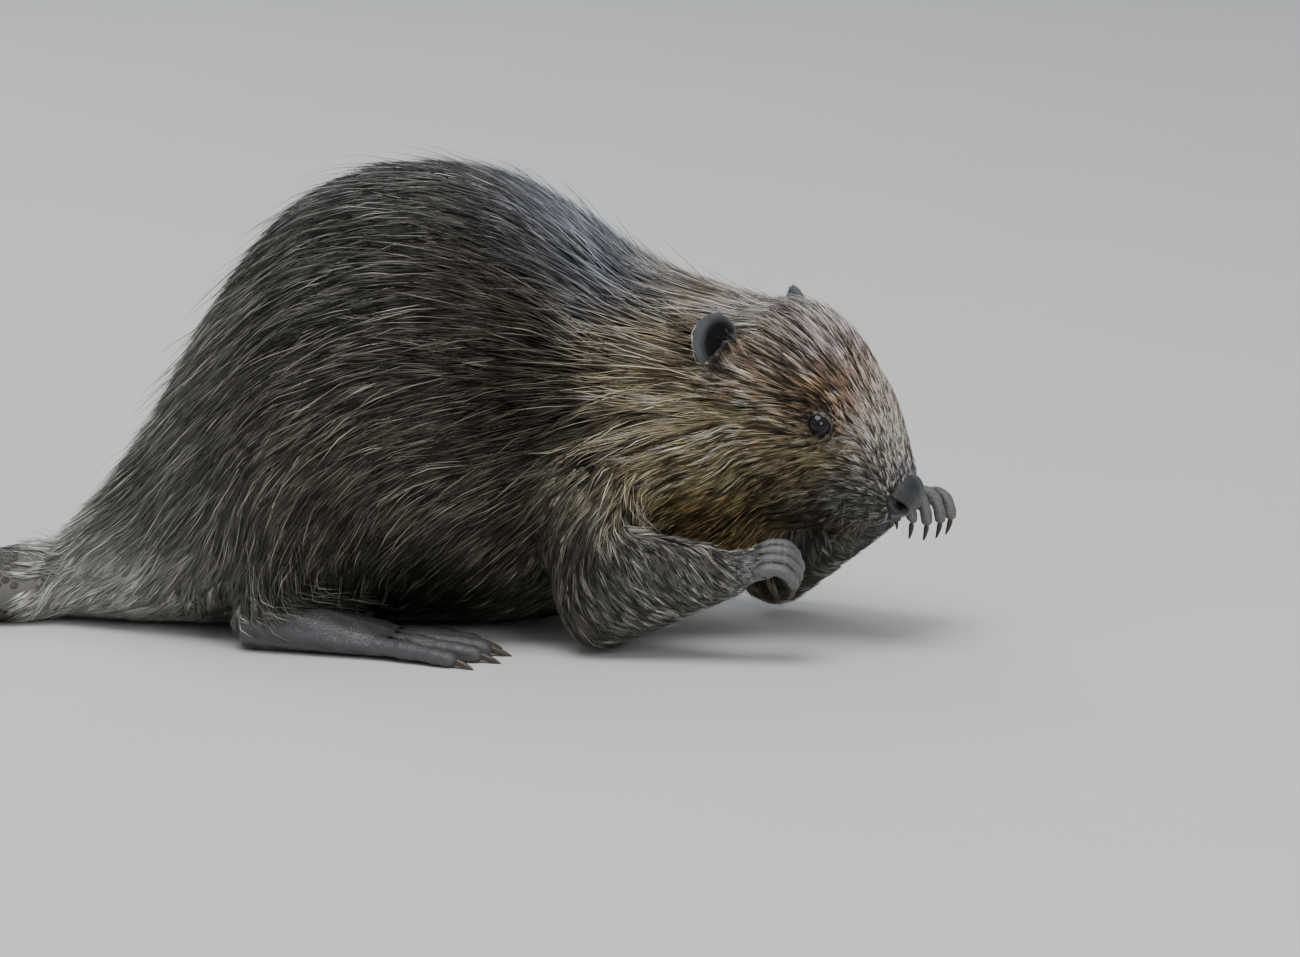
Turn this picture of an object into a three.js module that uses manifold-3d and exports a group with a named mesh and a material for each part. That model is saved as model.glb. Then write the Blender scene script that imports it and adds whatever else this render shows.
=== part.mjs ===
// A life-size Eurasian beaver, crouched with both hands lifted to its mouth.
// Millimetres, +Z up. The animal faces +X, with its left side towards +Y and its head turned to its right.
// The solids give the outside of the coat; bare parts (hands, feet, tail, nose, ears) are at skin level.
import * as THREE from 'three';
import { mergeVertices } from 'three/addons/utils/BufferGeometryUtils.js';
import Module from 'manifold-3d';

const wasm = await Module();
wasm.setup();

// Driving dimensions.
const BACK_HEIGHT = 283; // floor to the top of the arched back
const TRUNK_LENGTH = 430; // tail root to the back of the head, along X
const HIP_WIDTH = 266; // across the haunches
const TAIL_ROOT_X = -284; // where the furred tail root meets the scaly paddle
const TAIL_LENGTH = 236; // the scaly paddle
const TAIL_WIDTH = 122;
const HEAD_LENGTH = 152; // nose tip to the nape
const HEAD_PITCH = 31; // degrees, nose down
const HEAD_YAW = 25; // degrees, turned to the animal's right
const NOSE_TIP = new THREE.Vector3(251, -100, 92);
const EYE_DIAMETER = 14;
const EAR_HEIGHT = 34;
const EAR_WIDTH = 28;
const HIND_FOOT_LENGTH = 158; // heel to the toe tips, without claws
const PART_GAP = 0.4; // the thin cut between neighbouring parts
const FLOOR_FLAT = 0.8; // how much of each resting surface is flattened
const FACET_TOLERANCE = 0.18; // facets flatter than this are merged; less than half the gap

const UP = new THREE.Vector3(0, 0, 1);
const LEFT = 1;
const RIGHT = -1;
const vec = (x, y, z) => new THREE.Vector3(x, y, z);
const degrees = THREE.MathUtils.degToRad;

// ---------------------------------------------------------------- solids

// A closed geometry as a manifold solid, with its faces pointing out.
function solidOf(geometry) {
  geometry.deleteAttribute('normal');
  geometry.deleteAttribute('uv');
  const merged = mergeVertices(geometry, 1e-4);
  const corners = new Uint32Array(merged.index.array);
  const build = () => new wasm.Manifold(new wasm.Mesh({
    numProp: 3,
    vertProperties: merged.attributes.position.array,
    triVerts: corners,
  }));
  const made = build();
  if (made.volume() > 0) return made;
  for (let i = 0; i < corners.length; i += 3) {
    [corners[i + 1], corners[i + 2]] = [corners[i + 2], corners[i + 1]];
  }
  return build();
}

function joined(solids) {
  return solids.reduce((whole, next) => whole.add(next));
}

// Carries an oval section along a smooth line. Each station gives the section's centre, its half-width,
// and how far it rises above and falls below the centre. Both ends are rounded off.
function sweep(stations, options = {}) {
  const { sides = 20, rings = 20, up = UP, upright = false, grow = 0 } = options;
  const { startCap = 0.1, endCap = 0.1, fullness = 1 } = options;
  const line = new THREE.CatmullRomCurve3(stations.map((s) => s.at));
  const sizeOf = ({ wide, rise = wide, fall = rise }) => vec(wide, rise, fall);
  const sizes = new THREE.CatmullRomCurve3(stations.map(sizeOf));
  const shape = new THREE.SphereGeometry(1, sides, rings);
  const places = shape.attributes.position;
  const roundedEnd = (share) => Math.sqrt(Math.max(0, 1 - (1 - Math.min(share, 1)) ** 2));
  const squared = (value) => Math.sign(value) * Math.abs(value) ** fullness;
  for (let i = 0; i < places.count; i += 1) {
    const polar = Math.acos(THREE.MathUtils.clamp(places.getY(i), -1, 1));
    const around = Math.atan2(places.getZ(i), places.getX(i));
    const even = polar / Math.PI;
    const along = 0.55 * even + 0.45 * (1 - Math.cos(polar)) / 2; // rings crowd a little towards the ends
    const centre = line.getPoint(along);
    const ahead = line.getTangent(along);
    if (upright) ahead.setZ(0).normalize();
    const side = vec(0, 0, 0).crossVectors(ahead, up).normalize();
    const top = vec(0, 0, 0).crossVectors(side, ahead);
    const size = sizes.getPoint(along);
    const pole = even < 1e-6 || even > 1 - 1e-6;
    const cap = pole ? 0 : roundedEnd(along / startCap) * roundedEnd((1 - along) / endCap);
    const across = squared(Math.cos(around)) * (size.x + grow) * cap;
    const lift = squared(Math.sin(around)) * ((Math.sin(around) > 0 ? size.y : size.z) + grow) * cap;
    centre.addScaledVector(side, across).addScaledVector(top, lift);
    if (grow && pole) centre.addScaledVector(ahead, even < 0.5 ? -grow : grow);
    places.setXYZ(i, centre.x, centre.y, centre.z);
  }
  return solidOf(shape);
}

// A round lump with three radii, turned so that its first radius lies along `ahead`.
function lump(centre, ahead, radii, { sides = 16, rings = 12, up = UP } = {}) {
  const forward = ahead.clone().normalize();
  const side = vec(0, 0, 0).crossVectors(up, forward).normalize();
  const top = vec(0, 0, 0).crossVectors(forward, side);
  const turn = new THREE.Matrix4().makeBasis(forward, side, top).scale(vec(...radii)).setPosition(centre);
  return solidOf(new THREE.SphereGeometry(1, sides, rings).applyMatrix4(turn));
}

// A box whose faces follow X, Y and Z, given by two corners.
function block(low, high) {
  const size = high.clone().sub(low);
  const middle = low.clone().add(high).multiplyScalar(0.5);
  return solidOf(new THREE.BoxGeometry(size.x, size.y, size.z).translate(middle.x, middle.y, middle.z));
}

const FAR = 2000;
const underFloor = block(vec(-FAR, -FAR, -FAR), vec(FAR, FAR, 0));

// Everything on the side of a plane that its normal points away from.
function behind(solid, normal, point, gap) {
  const n = normal.clone().normalize();
  return solid.trimByPlane([-n.x, -n.y, -n.z], -n.dot(point) + gap / 2);
}

// Everything on the side of a plane that its normal points to.
function ahead(solid, normal, point, gap) {
  const n = normal.clone().normalize();
  return solid.trimByPlane([n.x, n.y, n.z], n.dot(point) + gap / 2);
}

// ---------------------------------------------------------------- head frame

const pitch = degrees(HEAD_PITCH);
const yaw = degrees(HEAD_YAW);
const headForward = vec(Math.cos(pitch) * Math.cos(yaw), -Math.cos(pitch) * Math.sin(yaw), -Math.sin(pitch));
const headRight = vec(-Math.sin(yaw), -Math.cos(yaw), 0);
const headUp = vec(0, 0, 0).crossVectors(headRight, headForward);

// A point of the head: how far behind the nose tip, how far to the right, and how far above the nose tip.
function inHead(back, right, above) {
  const place = NOSE_TIP.clone().addScaledVector(headForward, -back);
  return place.addScaledVector(headRight, right).addScaledVector(headUp, above);
}

// ---------------------------------------------------------------- trunk, neck and head

// Upright sections from the tail root to the neck. `along` and `half` are shares of the trunk's length and of
// half the hip width, `top` and `belly` are shares of the back's height, and `y` places the middle line.
const TRUNK_SECTIONS = [
  { along: -0.060, y: 1, top: 0.155, belly: 0.000, half: 0.25 },
  { along: -0.025, y: 1, top: 0.195, belly: 0.000, half: 0.29 },
  { along: 0.030, y: 0, top: 0.285, belly: -0.006, half: 0.38 },
  { along: 0.084, y: 0, top: 0.390, belly: -0.008, half: 0.50 },
  { along: 0.133, y: 0, top: 0.535, belly: -0.008, half: 0.64 },
  { along: 0.188, y: 0, top: 0.690, belly: -0.008, half: 0.78 },
  { along: 0.250, y: 0, top: 0.836, belly: -0.008, half: 0.88 },
  { along: 0.330, y: 0, top: 0.944, belly: -0.008, half: 0.95 },
  { along: 0.440, y: 0, top: 0.992, belly: -0.008, half: 0.98 },
  { along: 0.550, y: -1, top: 0.992, belly: -0.004, half: 0.94 },
  { along: 0.640, y: -4, top: 0.950, belly: 0.000, half: 0.86 },
  { along: 0.720, y: -10, top: 0.855, belly: 0.025, half: 0.77 },
  { along: 0.800, y: -20, top: 0.778, belly: 0.070, half: 0.68 },
  { along: 0.880, y: -34, top: 0.752, belly: 0.115, half: 0.59 },
  { along: 0.950, y: -48, top: 0.735, belly: 0.155, half: 0.50 },
  { along: 1.020, y: -62, top: 0.690, belly: 0.195, half: 0.40 },
];
const TRUNK_START_X = -252;
const WIDEST_AT = 0.4; // the widest level, as a share of the height between belly and back

function trunkSweep(grow = 0) {
  const stations = TRUNK_SECTIONS.map((s) => {
    const top = s.top * BACK_HEIGHT;
    const belly = s.belly * BACK_HEIGHT;
    const middle = belly + WIDEST_AT * (top - belly);
    return {
      at: vec(TRUNK_START_X + s.along * TRUNK_LENGTH, s.y, middle),
      wide: (s.half * HIP_WIDTH) / 2,
      rise: top - middle,
      fall: middle - belly,
    };
  });
  const ends = { startCap: 0.035, endCap: 0.1 };
  return sweep(stations, { ...ends, sides: 22, rings: 20, upright: true, grow, fullness: 0.9 });
}

// Sections of the head square to its own line. `back` and `above` are measured from the nose tip.
const HEAD_SECTIONS = [
  { back: 7, above: -6, half: 15, rise: 13, fall: 17 },
  { back: 17, above: -6, half: 23, rise: 18, fall: 26 },
  { back: 34, above: -6, half: 32, rise: 33, fall: 43 },
  { back: 54, above: -5, half: 41, rise: 47, fall: 62 },
  { back: 78, above: -4, half: 51, rise: 56, fall: 71 },
  { back: 104, above: -2, half: 58, rise: 60, fall: 72 },
  { back: 130, above: 0, half: 58, rise: 57, fall: 66 },
  { back: HEAD_LENGTH + 10, above: 0, half: 52, rise: 47, fall: 52 },
];

function headSweep(grow = 0) {
  const stations = HEAD_SECTIONS.map((s) => ({
    at: inHead(s.back, 0, s.above), wide: s.half, rise: s.rise, fall: s.fall,
  }));
  const ends = { startCap: 0.08, endCap: 0.14 };
  return sweep(stations, { ...ends, sides: 20, rings: 13, up: headUp, grow, fullness: 0.96 });
}

// The upper lip's two pads beside the mouth, and the small chin under them.
function muzzlePads() {
  const pads = [LEFT, RIGHT].map((side) => (
    lump(inHead(24, -side * 12, -20), headForward, [18, 13, 14], { sides: 8, rings: 6, up: headUp })
  ));
  const chin = lump(inHead(38, 0, -41), headForward, [19, 17, 13], { sides: 8, rings: 6, up: headUp });
  return [...pads, chin];
}

// ---------------------------------------------------------------- paws

// The middle line of a digit: it turns step by step from `forward` towards `down`.
function digitLine({ base, forward, down, length, bend, startBend }) {
  const steps = 4;
  const points = [base.clone()];
  for (let i = 0; i < steps; i += 1) {
    const turn = degrees(startBend + (bend * (i + 0.5)) / steps);
    const way = forward.clone().multiplyScalar(Math.cos(turn)).addScaledVector(down, Math.sin(turn));
    points.push(points[i].clone().addScaledVector(way, length / steps));
  }
  return { points, end: degrees(startBend + bend) };
}

function digit(spec, grow = 0) {
  const stations = digitLine(spec).points.map((at, i) => {
    const knuckle = 1 + 0.08 * Math.cos(i * Math.PI);
    const radius = spec.radius * (1 - 0.055 * i) * knuckle;
    return { at, wide: radius, rise: radius * spec.flat };
  });
  return sweep(stations, { sides: 6, rings: 5, up: spec.up, startCap: 0.12, endCap: 0.24, grow });
}

// A curved, pointed claw, deeper than it is wide. Its root is set in the end of the digit.
function claw(spec, grow = 0) {
  const { points, end } = digitLine(spec);
  const steps = 3;
  const wayAt = (turn) => (
    spec.forward.clone().multiplyScalar(Math.cos(turn)).addScaledVector(spec.down, Math.sin(turn))
  );
  let at = points[points.length - 1].clone().addScaledVector(wayAt(end), -0.7 * spec.radius);
  const stations = [];
  for (let i = 0; i <= steps; i += 1) {
    const share = 1 - 0.84 * (i / steps) ** 1.5;
    stations.push({ at: at.clone(), wide: spec.clawRadius * share, rise: spec.clawRadius * 1.2 * share });
    const turn = end + degrees((spec.clawBend * (i + 0.5)) / steps);
    at = at.addScaledVector(wayAt(turn), spec.clawLength / steps);
  }
  return sweep(stations, { sides: 5, rings: 4, up: spec.up, startCap: 0.1, endCap: 0.06, grow });
}

// A forepaw: a rounded palm, four digits that curl over as if round a twig, and a short inner digit.
const FINGERS = [ // offset across the palm from the inner side, and length
  { offset: -12.6, length: 25 },
  { offset: -4.3, length: 29 },
  { offset: 4.3, length: 28 },
  { offset: 12.4, length: 24 },
];
const PALM_LENGTH = 22;

function forepawSpec({ wrist, forward, back, side, bend }) {
  const onward = forward.clone().normalize();
  const across = vec(0, 0, 0).crossVectors(back, onward).normalize().multiplyScalar(side);
  const dorsal = vec(0, 0, 0).crossVectors(onward, across).multiplyScalar(side).normalize();
  const palm = dorsal.clone().negate();
  const fromWrist = (on, over, under) => (
    wrist.clone().addScaledVector(onward, on).addScaledVector(across, over).addScaledVector(palm, under)
  );
  const digits = FINGERS.map(({ offset, length }) => ({
    base: fromWrist(PALM_LENGTH, offset, Math.abs(offset) * 0.13),
    forward: onward.clone().addScaledVector(across, offset * 0.011).normalize(),
    down: palm,
    up: dorsal,
    length,
    bend,
    startBend: 4,
    radius: 4.7,
    flat: 0.95,
    clawLength: 15,
    clawRadius: 2.3,
    clawBend: 30,
  }));
  digits.push({ // the short inner digit, held under the palm
    base: fromWrist(11, -12, 5),
    forward: onward.clone().addScaledVector(across, -0.35).normalize(),
    down: palm,
    up: dorsal,
    length: 14,
    bend: 60,
    startBend: 30,
    radius: 4,
    flat: 0.95,
    clawLength: 8,
    clawRadius: 1.8,
    clawBend: 20,
  });
  const pad = (grow = 0) => sweep([
    { at: fromWrist(-12, 0, 0), wide: 12, rise: 9.5 },
    { at: fromWrist(0, 0, 0), wide: 13, rise: 9.5 },
    { at: fromWrist(12, 0, 0), wide: 16.5, rise: 9 },
    { at: fromWrist(26, 0, 1), wide: 16.5, rise: 7 },
  ], { sides: 10, rings: 6, up: dorsal, startCap: 0.3, endCap: 0.35, fullness: 0.85, grow });
  return { digits, pad };
}

// The webbed hind foot lies flat. Its toes fan out from the ball, with a thin web between each two.
const TOE_FAN = [ // turn from the foot's own line in degrees, length, radius; the inner toe comes first
  { turn: -19, length: 50, radius: 6.2 },
  { turn: -9, length: 63, radius: 7.0 },
  { turn: 1, length: 72, radius: 7.6 },
  { turn: 11, length: 71, radius: 7.6 },
  { turn: 22, length: 62, radius: 7.0 },
];
const LONGEST_TOE = Math.max(...TOE_FAN.map((toe) => toe.length));
const BALL_REACH = HIND_FOOT_LENGTH - LONGEST_TOE; // heel to the ball of the foot
const TOE_SPACING = 9.5;
const WEB_THICKNESS = 3;
const WEB_LEVEL = 2;

function hindFootSpec({ heel, heading, side }) {
  const onward = vec(Math.cos(degrees(heading)), side * Math.sin(degrees(heading)), 0);
  const outward = vec(-Math.sin(degrees(heading)), side * Math.cos(degrees(heading)), 0);
  const ball = heel.clone().addScaledVector(onward, BALL_REACH);
  const turnedBy = (turn) => (
    onward.clone().multiplyScalar(Math.cos(turn)).addScaledVector(outward, Math.sin(turn))
  );
  const toes = TOE_FAN.map(({ turn, length, radius }, i) => ({
    base: ball.clone().addScaledVector(outward, (i - 2) * TOE_SPACING).setZ(radius + 1.5),
    forward: turnedBy(degrees(turn)),
    down: UP.clone().negate(),
    up: UP,
    length,
    bend: 9,
    startBend: -1,
    radius,
    flat: 0.82,
    clawLength: 19,
    clawRadius: 3.1,
    clawBend: 18,
  }));
  const onFoot = (reach, level) => heel.clone().addScaledVector(onward, reach).setZ(level);
  const sole = (grow = 0) => sweep([
    { at: onFoot(0, 20), wide: 17, rise: 20 },
    { at: onFoot(26, 16), wide: 20, rise: 19, fall: 16.5 },
    { at: onFoot(56, 11), wide: 24, rise: 17, fall: 11.5 },
    { at: onFoot(BALL_REACH + 4, 8), wide: 29, rise: 11, fall: 8.5 },
    { at: onFoot(BALL_REACH + 18, 6.5), wide: 30, rise: 8, fall: 6.5 },
  ], { sides: 10, rings: 7, startCap: 0.16, endCap: 0.14, grow });
  return { toes, sole, ball, onward };
}

// The web is one scalloped sheet: it reaches most of the way along each toe and dips between them.
function web({ toes, ball, onward }) {
  const back = ball.clone().addScaledVector(onward, -16);
  const outline = new THREE.Shape();
  outline.moveTo(back.x, back.y);
  toes.forEach((toe, i) => {
    const tip = toe.base.clone().addScaledVector(toe.forward, toe.length * 0.86);
    outline.lineTo(tip.x, tip.y);
    if (i + 1 === toes.length) return;
    const next = toes[i + 1];
    const between = toe.forward.clone().add(next.forward).normalize();
    const dip = toe.base.clone().add(next.base).multiplyScalar(0.5);
    dip.addScaledVector(between, 0.33 * (toe.length + next.length));
    outline.lineTo(dip.x, dip.y);
  });
  outline.closePath();
  const sheet = new THREE.ExtrudeGeometry(outline, { depth: WEB_THICKNESS, bevelEnabled: false });
  return solidOf(sheet.translate(0, 0, WEB_LEVEL));
}

// ---------------------------------------------------------------- legs

const FORELEGS = {
  right: {
    side: RIGHT,
    shoulder: vec(36, -82, 124),
    elbow: vec(54, -113, 42),
    wrist: vec(139, -139, 54),
    forward: vec(0.78, -0.22, 0.42),
    back: vec(-0.3, -0.36, 0.88),
    bend: 122,
  },
  left: {
    side: LEFT,
    shoulder: vec(80, 50, 114),
    elbow: vec(158, 28, 41),
    wrist: vec(238, -20, 78),
    forward: vec(0.5, -0.8, 0.26),
    back: vec(-0.1, 0.2, 0.95),
    bend: 108,
  },
};
const HEELS = { right: vec(-158, -96, 0), left: vec(-158, 96, 0) };
const FOOT_HEADING = 9; // degrees, toes outward

// The upper arm lies in the shoulder's fur; the forearm rests on the elbow and reaches forwards to the wrist.
function foreleg({ shoulder, elbow, wrist }, grow = 0) {
  const along = (from, to, share) => from.clone().lerp(to, share);
  const upperArm = sweep([
    { at: shoulder, wide: 30, rise: 30 },
    { at: along(shoulder, elbow, 0.5), wide: 33, rise: 33 },
    { at: along(shoulder, elbow, 1.02), wide: 31, rise: 30 },
  ], { sides: 10, rings: 7, startCap: 0.3, endCap: 0.35, up: vec(1, 0, 0), grow });
  const forearm = sweep([
    { at: along(elbow, wrist, -0.3), wide: 28, rise: 29, fall: 40 },
    { at: elbow, wide: 32, rise: 36, fall: 44 },
    { at: along(elbow, wrist, 0.35), wide: 27, rise: 31, fall: 34 },
    { at: along(elbow, wrist, 0.7), wide: 21, rise: 23, fall: 24 },
    { at: wrist, wide: 16, rise: 15 },
  ], { sides: 12, rings: 9, startCap: 0.3, endCap: 0.08, grow });
  return upperArm.add(forearm);
}

// The folded hind leg: a broad haunch against the flank, and a shank down to the heel.
function hindleg(side, grow = 0) {
  const heel = side === LEFT ? HEELS.left : HEELS.right;
  const haunchRadii = [84, 42, 75].map((radius) => radius + grow);
  const haunch = lump(vec(-96, side * 92, 101), vec(1, 0, 0.22), haunchRadii, { sides: 12, rings: 9 });
  const shank = sweep([
    { at: vec(-104, side * 94, 64), wide: 30, rise: 34 },
    { at: vec(-134, side * 95, 44), wide: 27, rise: 27 },
    { at: heel.clone().add(vec(0, 0, 26)), wide: 19, rise: 18 },
  ], { sides: 9, rings: 5, startCap: 0.2, endCap: 0.3, grow });
  return haunch.add(shank);
}

// ---------------------------------------------------------------- tail, ears, eyes, nose

// The tail: round and thick at its root, then a flat paddle. `along` is a share of the tail's length.
const TAIL_SECTIONS = [
  { along: -0.10, half: 0.50, top: 50 },
  { along: 0.05, half: 0.55, top: 43 },
  { along: 0.22, half: 0.76, top: 32 },
  { along: 0.42, half: 0.97, top: 23 },
  { along: 0.62, half: 1.00, top: 17.5 },
  { along: 0.80, half: 0.90, top: 14 },
  { along: 0.93, half: 0.68, top: 11 },
  { along: 1.00, half: 0.46, top: 9 },
];
const TAIL_SWING = -14; // how far the tip lies towards the right, in millimetres

function tail() {
  const stations = TAIL_SECTIONS.map(({ along, half, top }) => ({
    at: vec(TAIL_ROOT_X - along * TAIL_LENGTH, 1 + TAIL_SWING * Math.max(0, along) ** 2, 0.42 * top),
    wide: (half * TAIL_WIDTH) / 2,
    rise: 0.58 * top,
    fall: 0.42 * top,
  }));
  return sweep(stations, { sides: 18, rings: 13, startCap: 0.04, endCap: 0.16 });
}

// A rounded ear: a thick-rimmed cup that opens forwards and outwards.
const EAR_PLACE = { back: 142, right: 57, above: 22.5 }; // the middle of the ear
const EAR_THICKNESS = 6;
const EAR_CURL = 5; // how far the middle of the ear is bowed back behind its rim
const EAR_CUP = 2.2; // how much further its front face is hollowed
const EAR_ONWARD = 3; // shifts the ear towards its mouth, so that the bow is about its middle

function ear(side, grow = 0) {
  const middle = inHead(EAR_PLACE.back, -side * EAR_PLACE.right, EAR_PLACE.above);
  const outwards = headRight.clone().multiplyScalar(-side);
  const inFrame = (onward, outward, above) => {
    const way = headForward.clone().multiplyScalar(onward);
    return way.addScaledVector(outwards, outward).addScaledVector(headUp, above);
  };
  const tall = inFrame(-0.33, 0.22, 0.92).normalize();
  const mouth = inFrame(0.75, 0.56, 0.3).projectOnPlane(tall).normalize();
  const broad = vec(0, 0, 0).crossVectors(tall, mouth);
  const shape = new THREE.SphereGeometry(1, 12, 9);
  const places = shape.attributes.position;
  for (let i = 0; i < places.count; i += 1) {
    const [x, y, z] = [places.getX(i), places.getY(i), places.getZ(i)];
    const share = (y + 1) / 2;
    const width = (EAR_WIDTH / 2) * (0.76 + 0.3 * share - 0.06 * share ** 4) + grow;
    const cup = z > 0 ? EAR_CUP * (1 - x * x) * (1 - y * y) : 0;
    const curl = EAR_CURL * (1 - x * x) * (0.4 + 0.6 * share);
    const depth = z * (EAR_THICKNESS / 2 + grow) - cup - curl + EAR_ONWARD;
    middle.clone()
      .addScaledVector(broad, x * width)
      .addScaledVector(tall, y * (EAR_HEIGHT / 2 + grow))
      .addScaledVector(mouth, depth)
      .toArray(places.array, i * 3);
  }
  return solidOf(shape);
}

const EYE_PLACE = { back: 68, right: 37, above: 13 };

function eye(side, grow = 0) {
  const centre = inHead(EYE_PLACE.back, -side * EYE_PLACE.right, EYE_PLACE.above);
  const radius = EYE_DIAMETER / 2 + grow;
  return lump(centre, headForward, [radius, radius, radius], { sides: 10, rings: 7, up: headUp });
}

// The bare nose pad, with a dent for each nostril.
function nose(grow = 0) {
  const radii = [9, 14.5, 11.5].map((radius) => radius + grow);
  const pad = lump(inHead(11.5, 0, -6), headForward, radii, { sides: 12, rings: 8, up: headUp });
  if (grow) return pad;
  const nostrils = [LEFT, RIGHT].map((side) => {
    const way = headRight.clone().multiplyScalar(-side).addScaledVector(headForward, 0.4);
    return lump(inHead(8.5, -side * 12, -9), way, [5, 3.2, 2.4], { sides: 6, rings: 4, up: headUp });
  });
  return pad.subtract(joined(nostrils));
}

// ---------------------------------------------------------------- assembly

const FUR_BODY = { color: 0x4a443c, roughness: 0.8, metalness: 0 };
const FUR_FACE = { color: 0x6e5a45, roughness: 0.8, metalness: 0 };
const FUR_ARM = { color: 0x6a6864, roughness: 0.8, metalness: 0 };
const BARE_SKIN = { color: 0x4b4c4e, roughness: 0.55, metalness: 0 };
const TAIL_SKIN = { color: 0x3b3a37, roughness: 0.6, metalness: 0 };
const CLAW_HORN = { color: 0x2b241f, roughness: 0.4, metalness: 0 };
const EYE_DARK = { color: 0x0d0b0a, roughness: 0.08, metalness: 0 };

const beaver = new THREE.Group();

// The biggest single body of a cut solid, cut off flat at the floor, with needless small facets taken out.
function finished(solid) {
  const standing = solid.subtract(underFloor.translate([0, 0, FLOOR_FLAT]));
  const whole = standing.decompose().reduce((best, body) => (body.volume() > best.volume() ? body : best));
  return whole.simplify(FACET_TOLERANCE);
}

function addPart(name, solid, finish) {
  const mesh = finished(solid).getMesh();
  const places = new Float32Array(mesh.numVert * 3);
  for (let i = 0; i < mesh.numVert; i += 1) {
    places.set(mesh.vertProperties.subarray(i * mesh.numProp, i * mesh.numProp + 3), i * 3);
  }
  const geometry = new THREE.BufferGeometry();
  geometry.setAttribute('position', new THREE.BufferAttribute(places, 3));
  geometry.setIndex(new THREE.BufferAttribute(new Uint32Array(mesh.triVerts), 1));
  const part = new THREE.Mesh(geometry, new THREE.MeshStandardMaterial(finish));
  part.name = name;
  beaver.add(part);
}

// The trunk, neck and head are one smooth body, parted by two thin plane cuts.
const NECK_BASE = { point: vec(60, -12, 130), normal: vec(0.94, -0.28, -0.1) };
const NAPE = { point: vec(124, -40, 180), normal: vec(0.9, -0.42, -0.12) };

const sides = Object.keys(FORELEGS);
const forelegs = sides.map((name) => foreleg(FORELEGS[name], PART_GAP));
const hindlegs = [RIGHT, LEFT].map((side) => hindleg(side, PART_GAP));
const legs = joined([...forelegs, ...hindlegs]);
const spine = joined([trunkSweep(), headSweep(), ...muzzlePads()]).subtract(legs);
const eyesAndEars = [RIGHT, LEFT].flatMap((side) => [eye(side, PART_GAP), ear(side, PART_GAP)]);
const faceHollows = joined([nose(PART_GAP), ...eyesAndEars]);

addPart('trunk', behind(spine, NECK_BASE.normal, NECK_BASE.point, PART_GAP), FUR_BODY);
const neckAndHead = ahead(spine, NECK_BASE.normal, NECK_BASE.point, PART_GAP).subtract(faceHollows);
addPart('neck', behind(neckAndHead, NAPE.normal, NAPE.point, PART_GAP), FUR_BODY);
addPart('head', ahead(neckAndHead, NAPE.normal, NAPE.point, PART_GAP), FUR_FACE);
addPart('nose', nose(), BARE_SKIN);
addPart('tail', tail().subtract(trunkSweep(PART_GAP)), TAIL_SKIN);

sides.forEach((name) => {
  const pose = FORELEGS[name];
  const { side } = pose;
  addPart(`ear_${name}`, ear(side), FUR_FACE);
  addPart(`eye_${name}`, eye(side), EYE_DARK);

  const paw = forepawSpec(pose);
  const grownPaw = joined([paw.pad(PART_GAP), ...paw.digits.map((spec) => digit(spec, PART_GAP))]);
  const pawClaws = joined(paw.digits.map((spec) => claw(spec, PART_GAP)));
  const wholePaw = joined([paw.pad(), ...paw.digits.map((spec) => digit(spec))]);
  addPart(`foreleg_${name}`, foreleg(pose).subtract(grownPaw).subtract(pawClaws), FUR_ARM);
  addPart(`forepaw_${name}`, wholePaw.subtract(pawClaws), BARE_SKIN);
  paw.digits.forEach((spec, i) => addPart(`forepaw_${name}_claw_${i + 1}`, claw(spec), CLAW_HORN));

  const foot = hindFootSpec({ heel: HEELS[name], heading: FOOT_HEADING, side });
  const footClaws = joined(foot.toes.map((spec) => claw(spec, PART_GAP)));
  const body = joined([trunkSweep(PART_GAP), hindleg(side, PART_GAP)]);
  const wholeFoot = joined([foot.sole(), web(foot), ...foot.toes.map((spec) => digit(spec))]);
  addPart(`hindleg_${name}`, hindleg(side), FUR_BODY);
  addPart(`hindfoot_${name}`, wholeFoot.subtract(footClaws).subtract(body), BARE_SKIN);
  foot.toes.forEach((spec, i) => addPart(`hindfoot_${name}_claw_${i + 1}`, claw(spec), CLAW_HORN));
});

// The origin is at the middle of the base of the whole animal, on the floor.
const bounds = new THREE.Box3().setFromObject(beaver);
const middle = bounds.getCenter(vec(0, 0, 0));
beaver.position.set(-middle.x, -middle.y, -bounds.min.z);

const model = new THREE.Group();
model.add(beaver);
export default model;
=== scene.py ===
import bmesh
import bpy
import numpy as np
from mathutils.bvhtree import BVHTree
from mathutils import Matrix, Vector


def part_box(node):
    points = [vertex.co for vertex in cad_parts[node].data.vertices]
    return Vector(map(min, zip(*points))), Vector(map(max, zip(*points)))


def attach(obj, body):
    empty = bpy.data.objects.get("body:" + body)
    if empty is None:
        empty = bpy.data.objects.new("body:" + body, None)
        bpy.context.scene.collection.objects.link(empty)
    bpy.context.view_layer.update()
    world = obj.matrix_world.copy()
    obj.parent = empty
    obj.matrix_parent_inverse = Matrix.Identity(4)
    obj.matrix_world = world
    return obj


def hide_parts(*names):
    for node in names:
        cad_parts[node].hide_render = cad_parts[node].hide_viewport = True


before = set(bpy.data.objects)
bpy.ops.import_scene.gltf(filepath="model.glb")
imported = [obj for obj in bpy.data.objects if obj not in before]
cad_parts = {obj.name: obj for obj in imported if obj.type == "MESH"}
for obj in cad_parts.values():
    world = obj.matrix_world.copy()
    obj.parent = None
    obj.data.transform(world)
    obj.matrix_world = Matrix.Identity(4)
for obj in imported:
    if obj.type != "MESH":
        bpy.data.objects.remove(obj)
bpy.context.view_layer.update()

# Shapes are worked out in millimetres, in the beaver's own frame: +X forwards, +Y to its left, floor at Z 0.
tailTipX = -520.0
footFlat = 0.8  # how much of the soles was flattened
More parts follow.
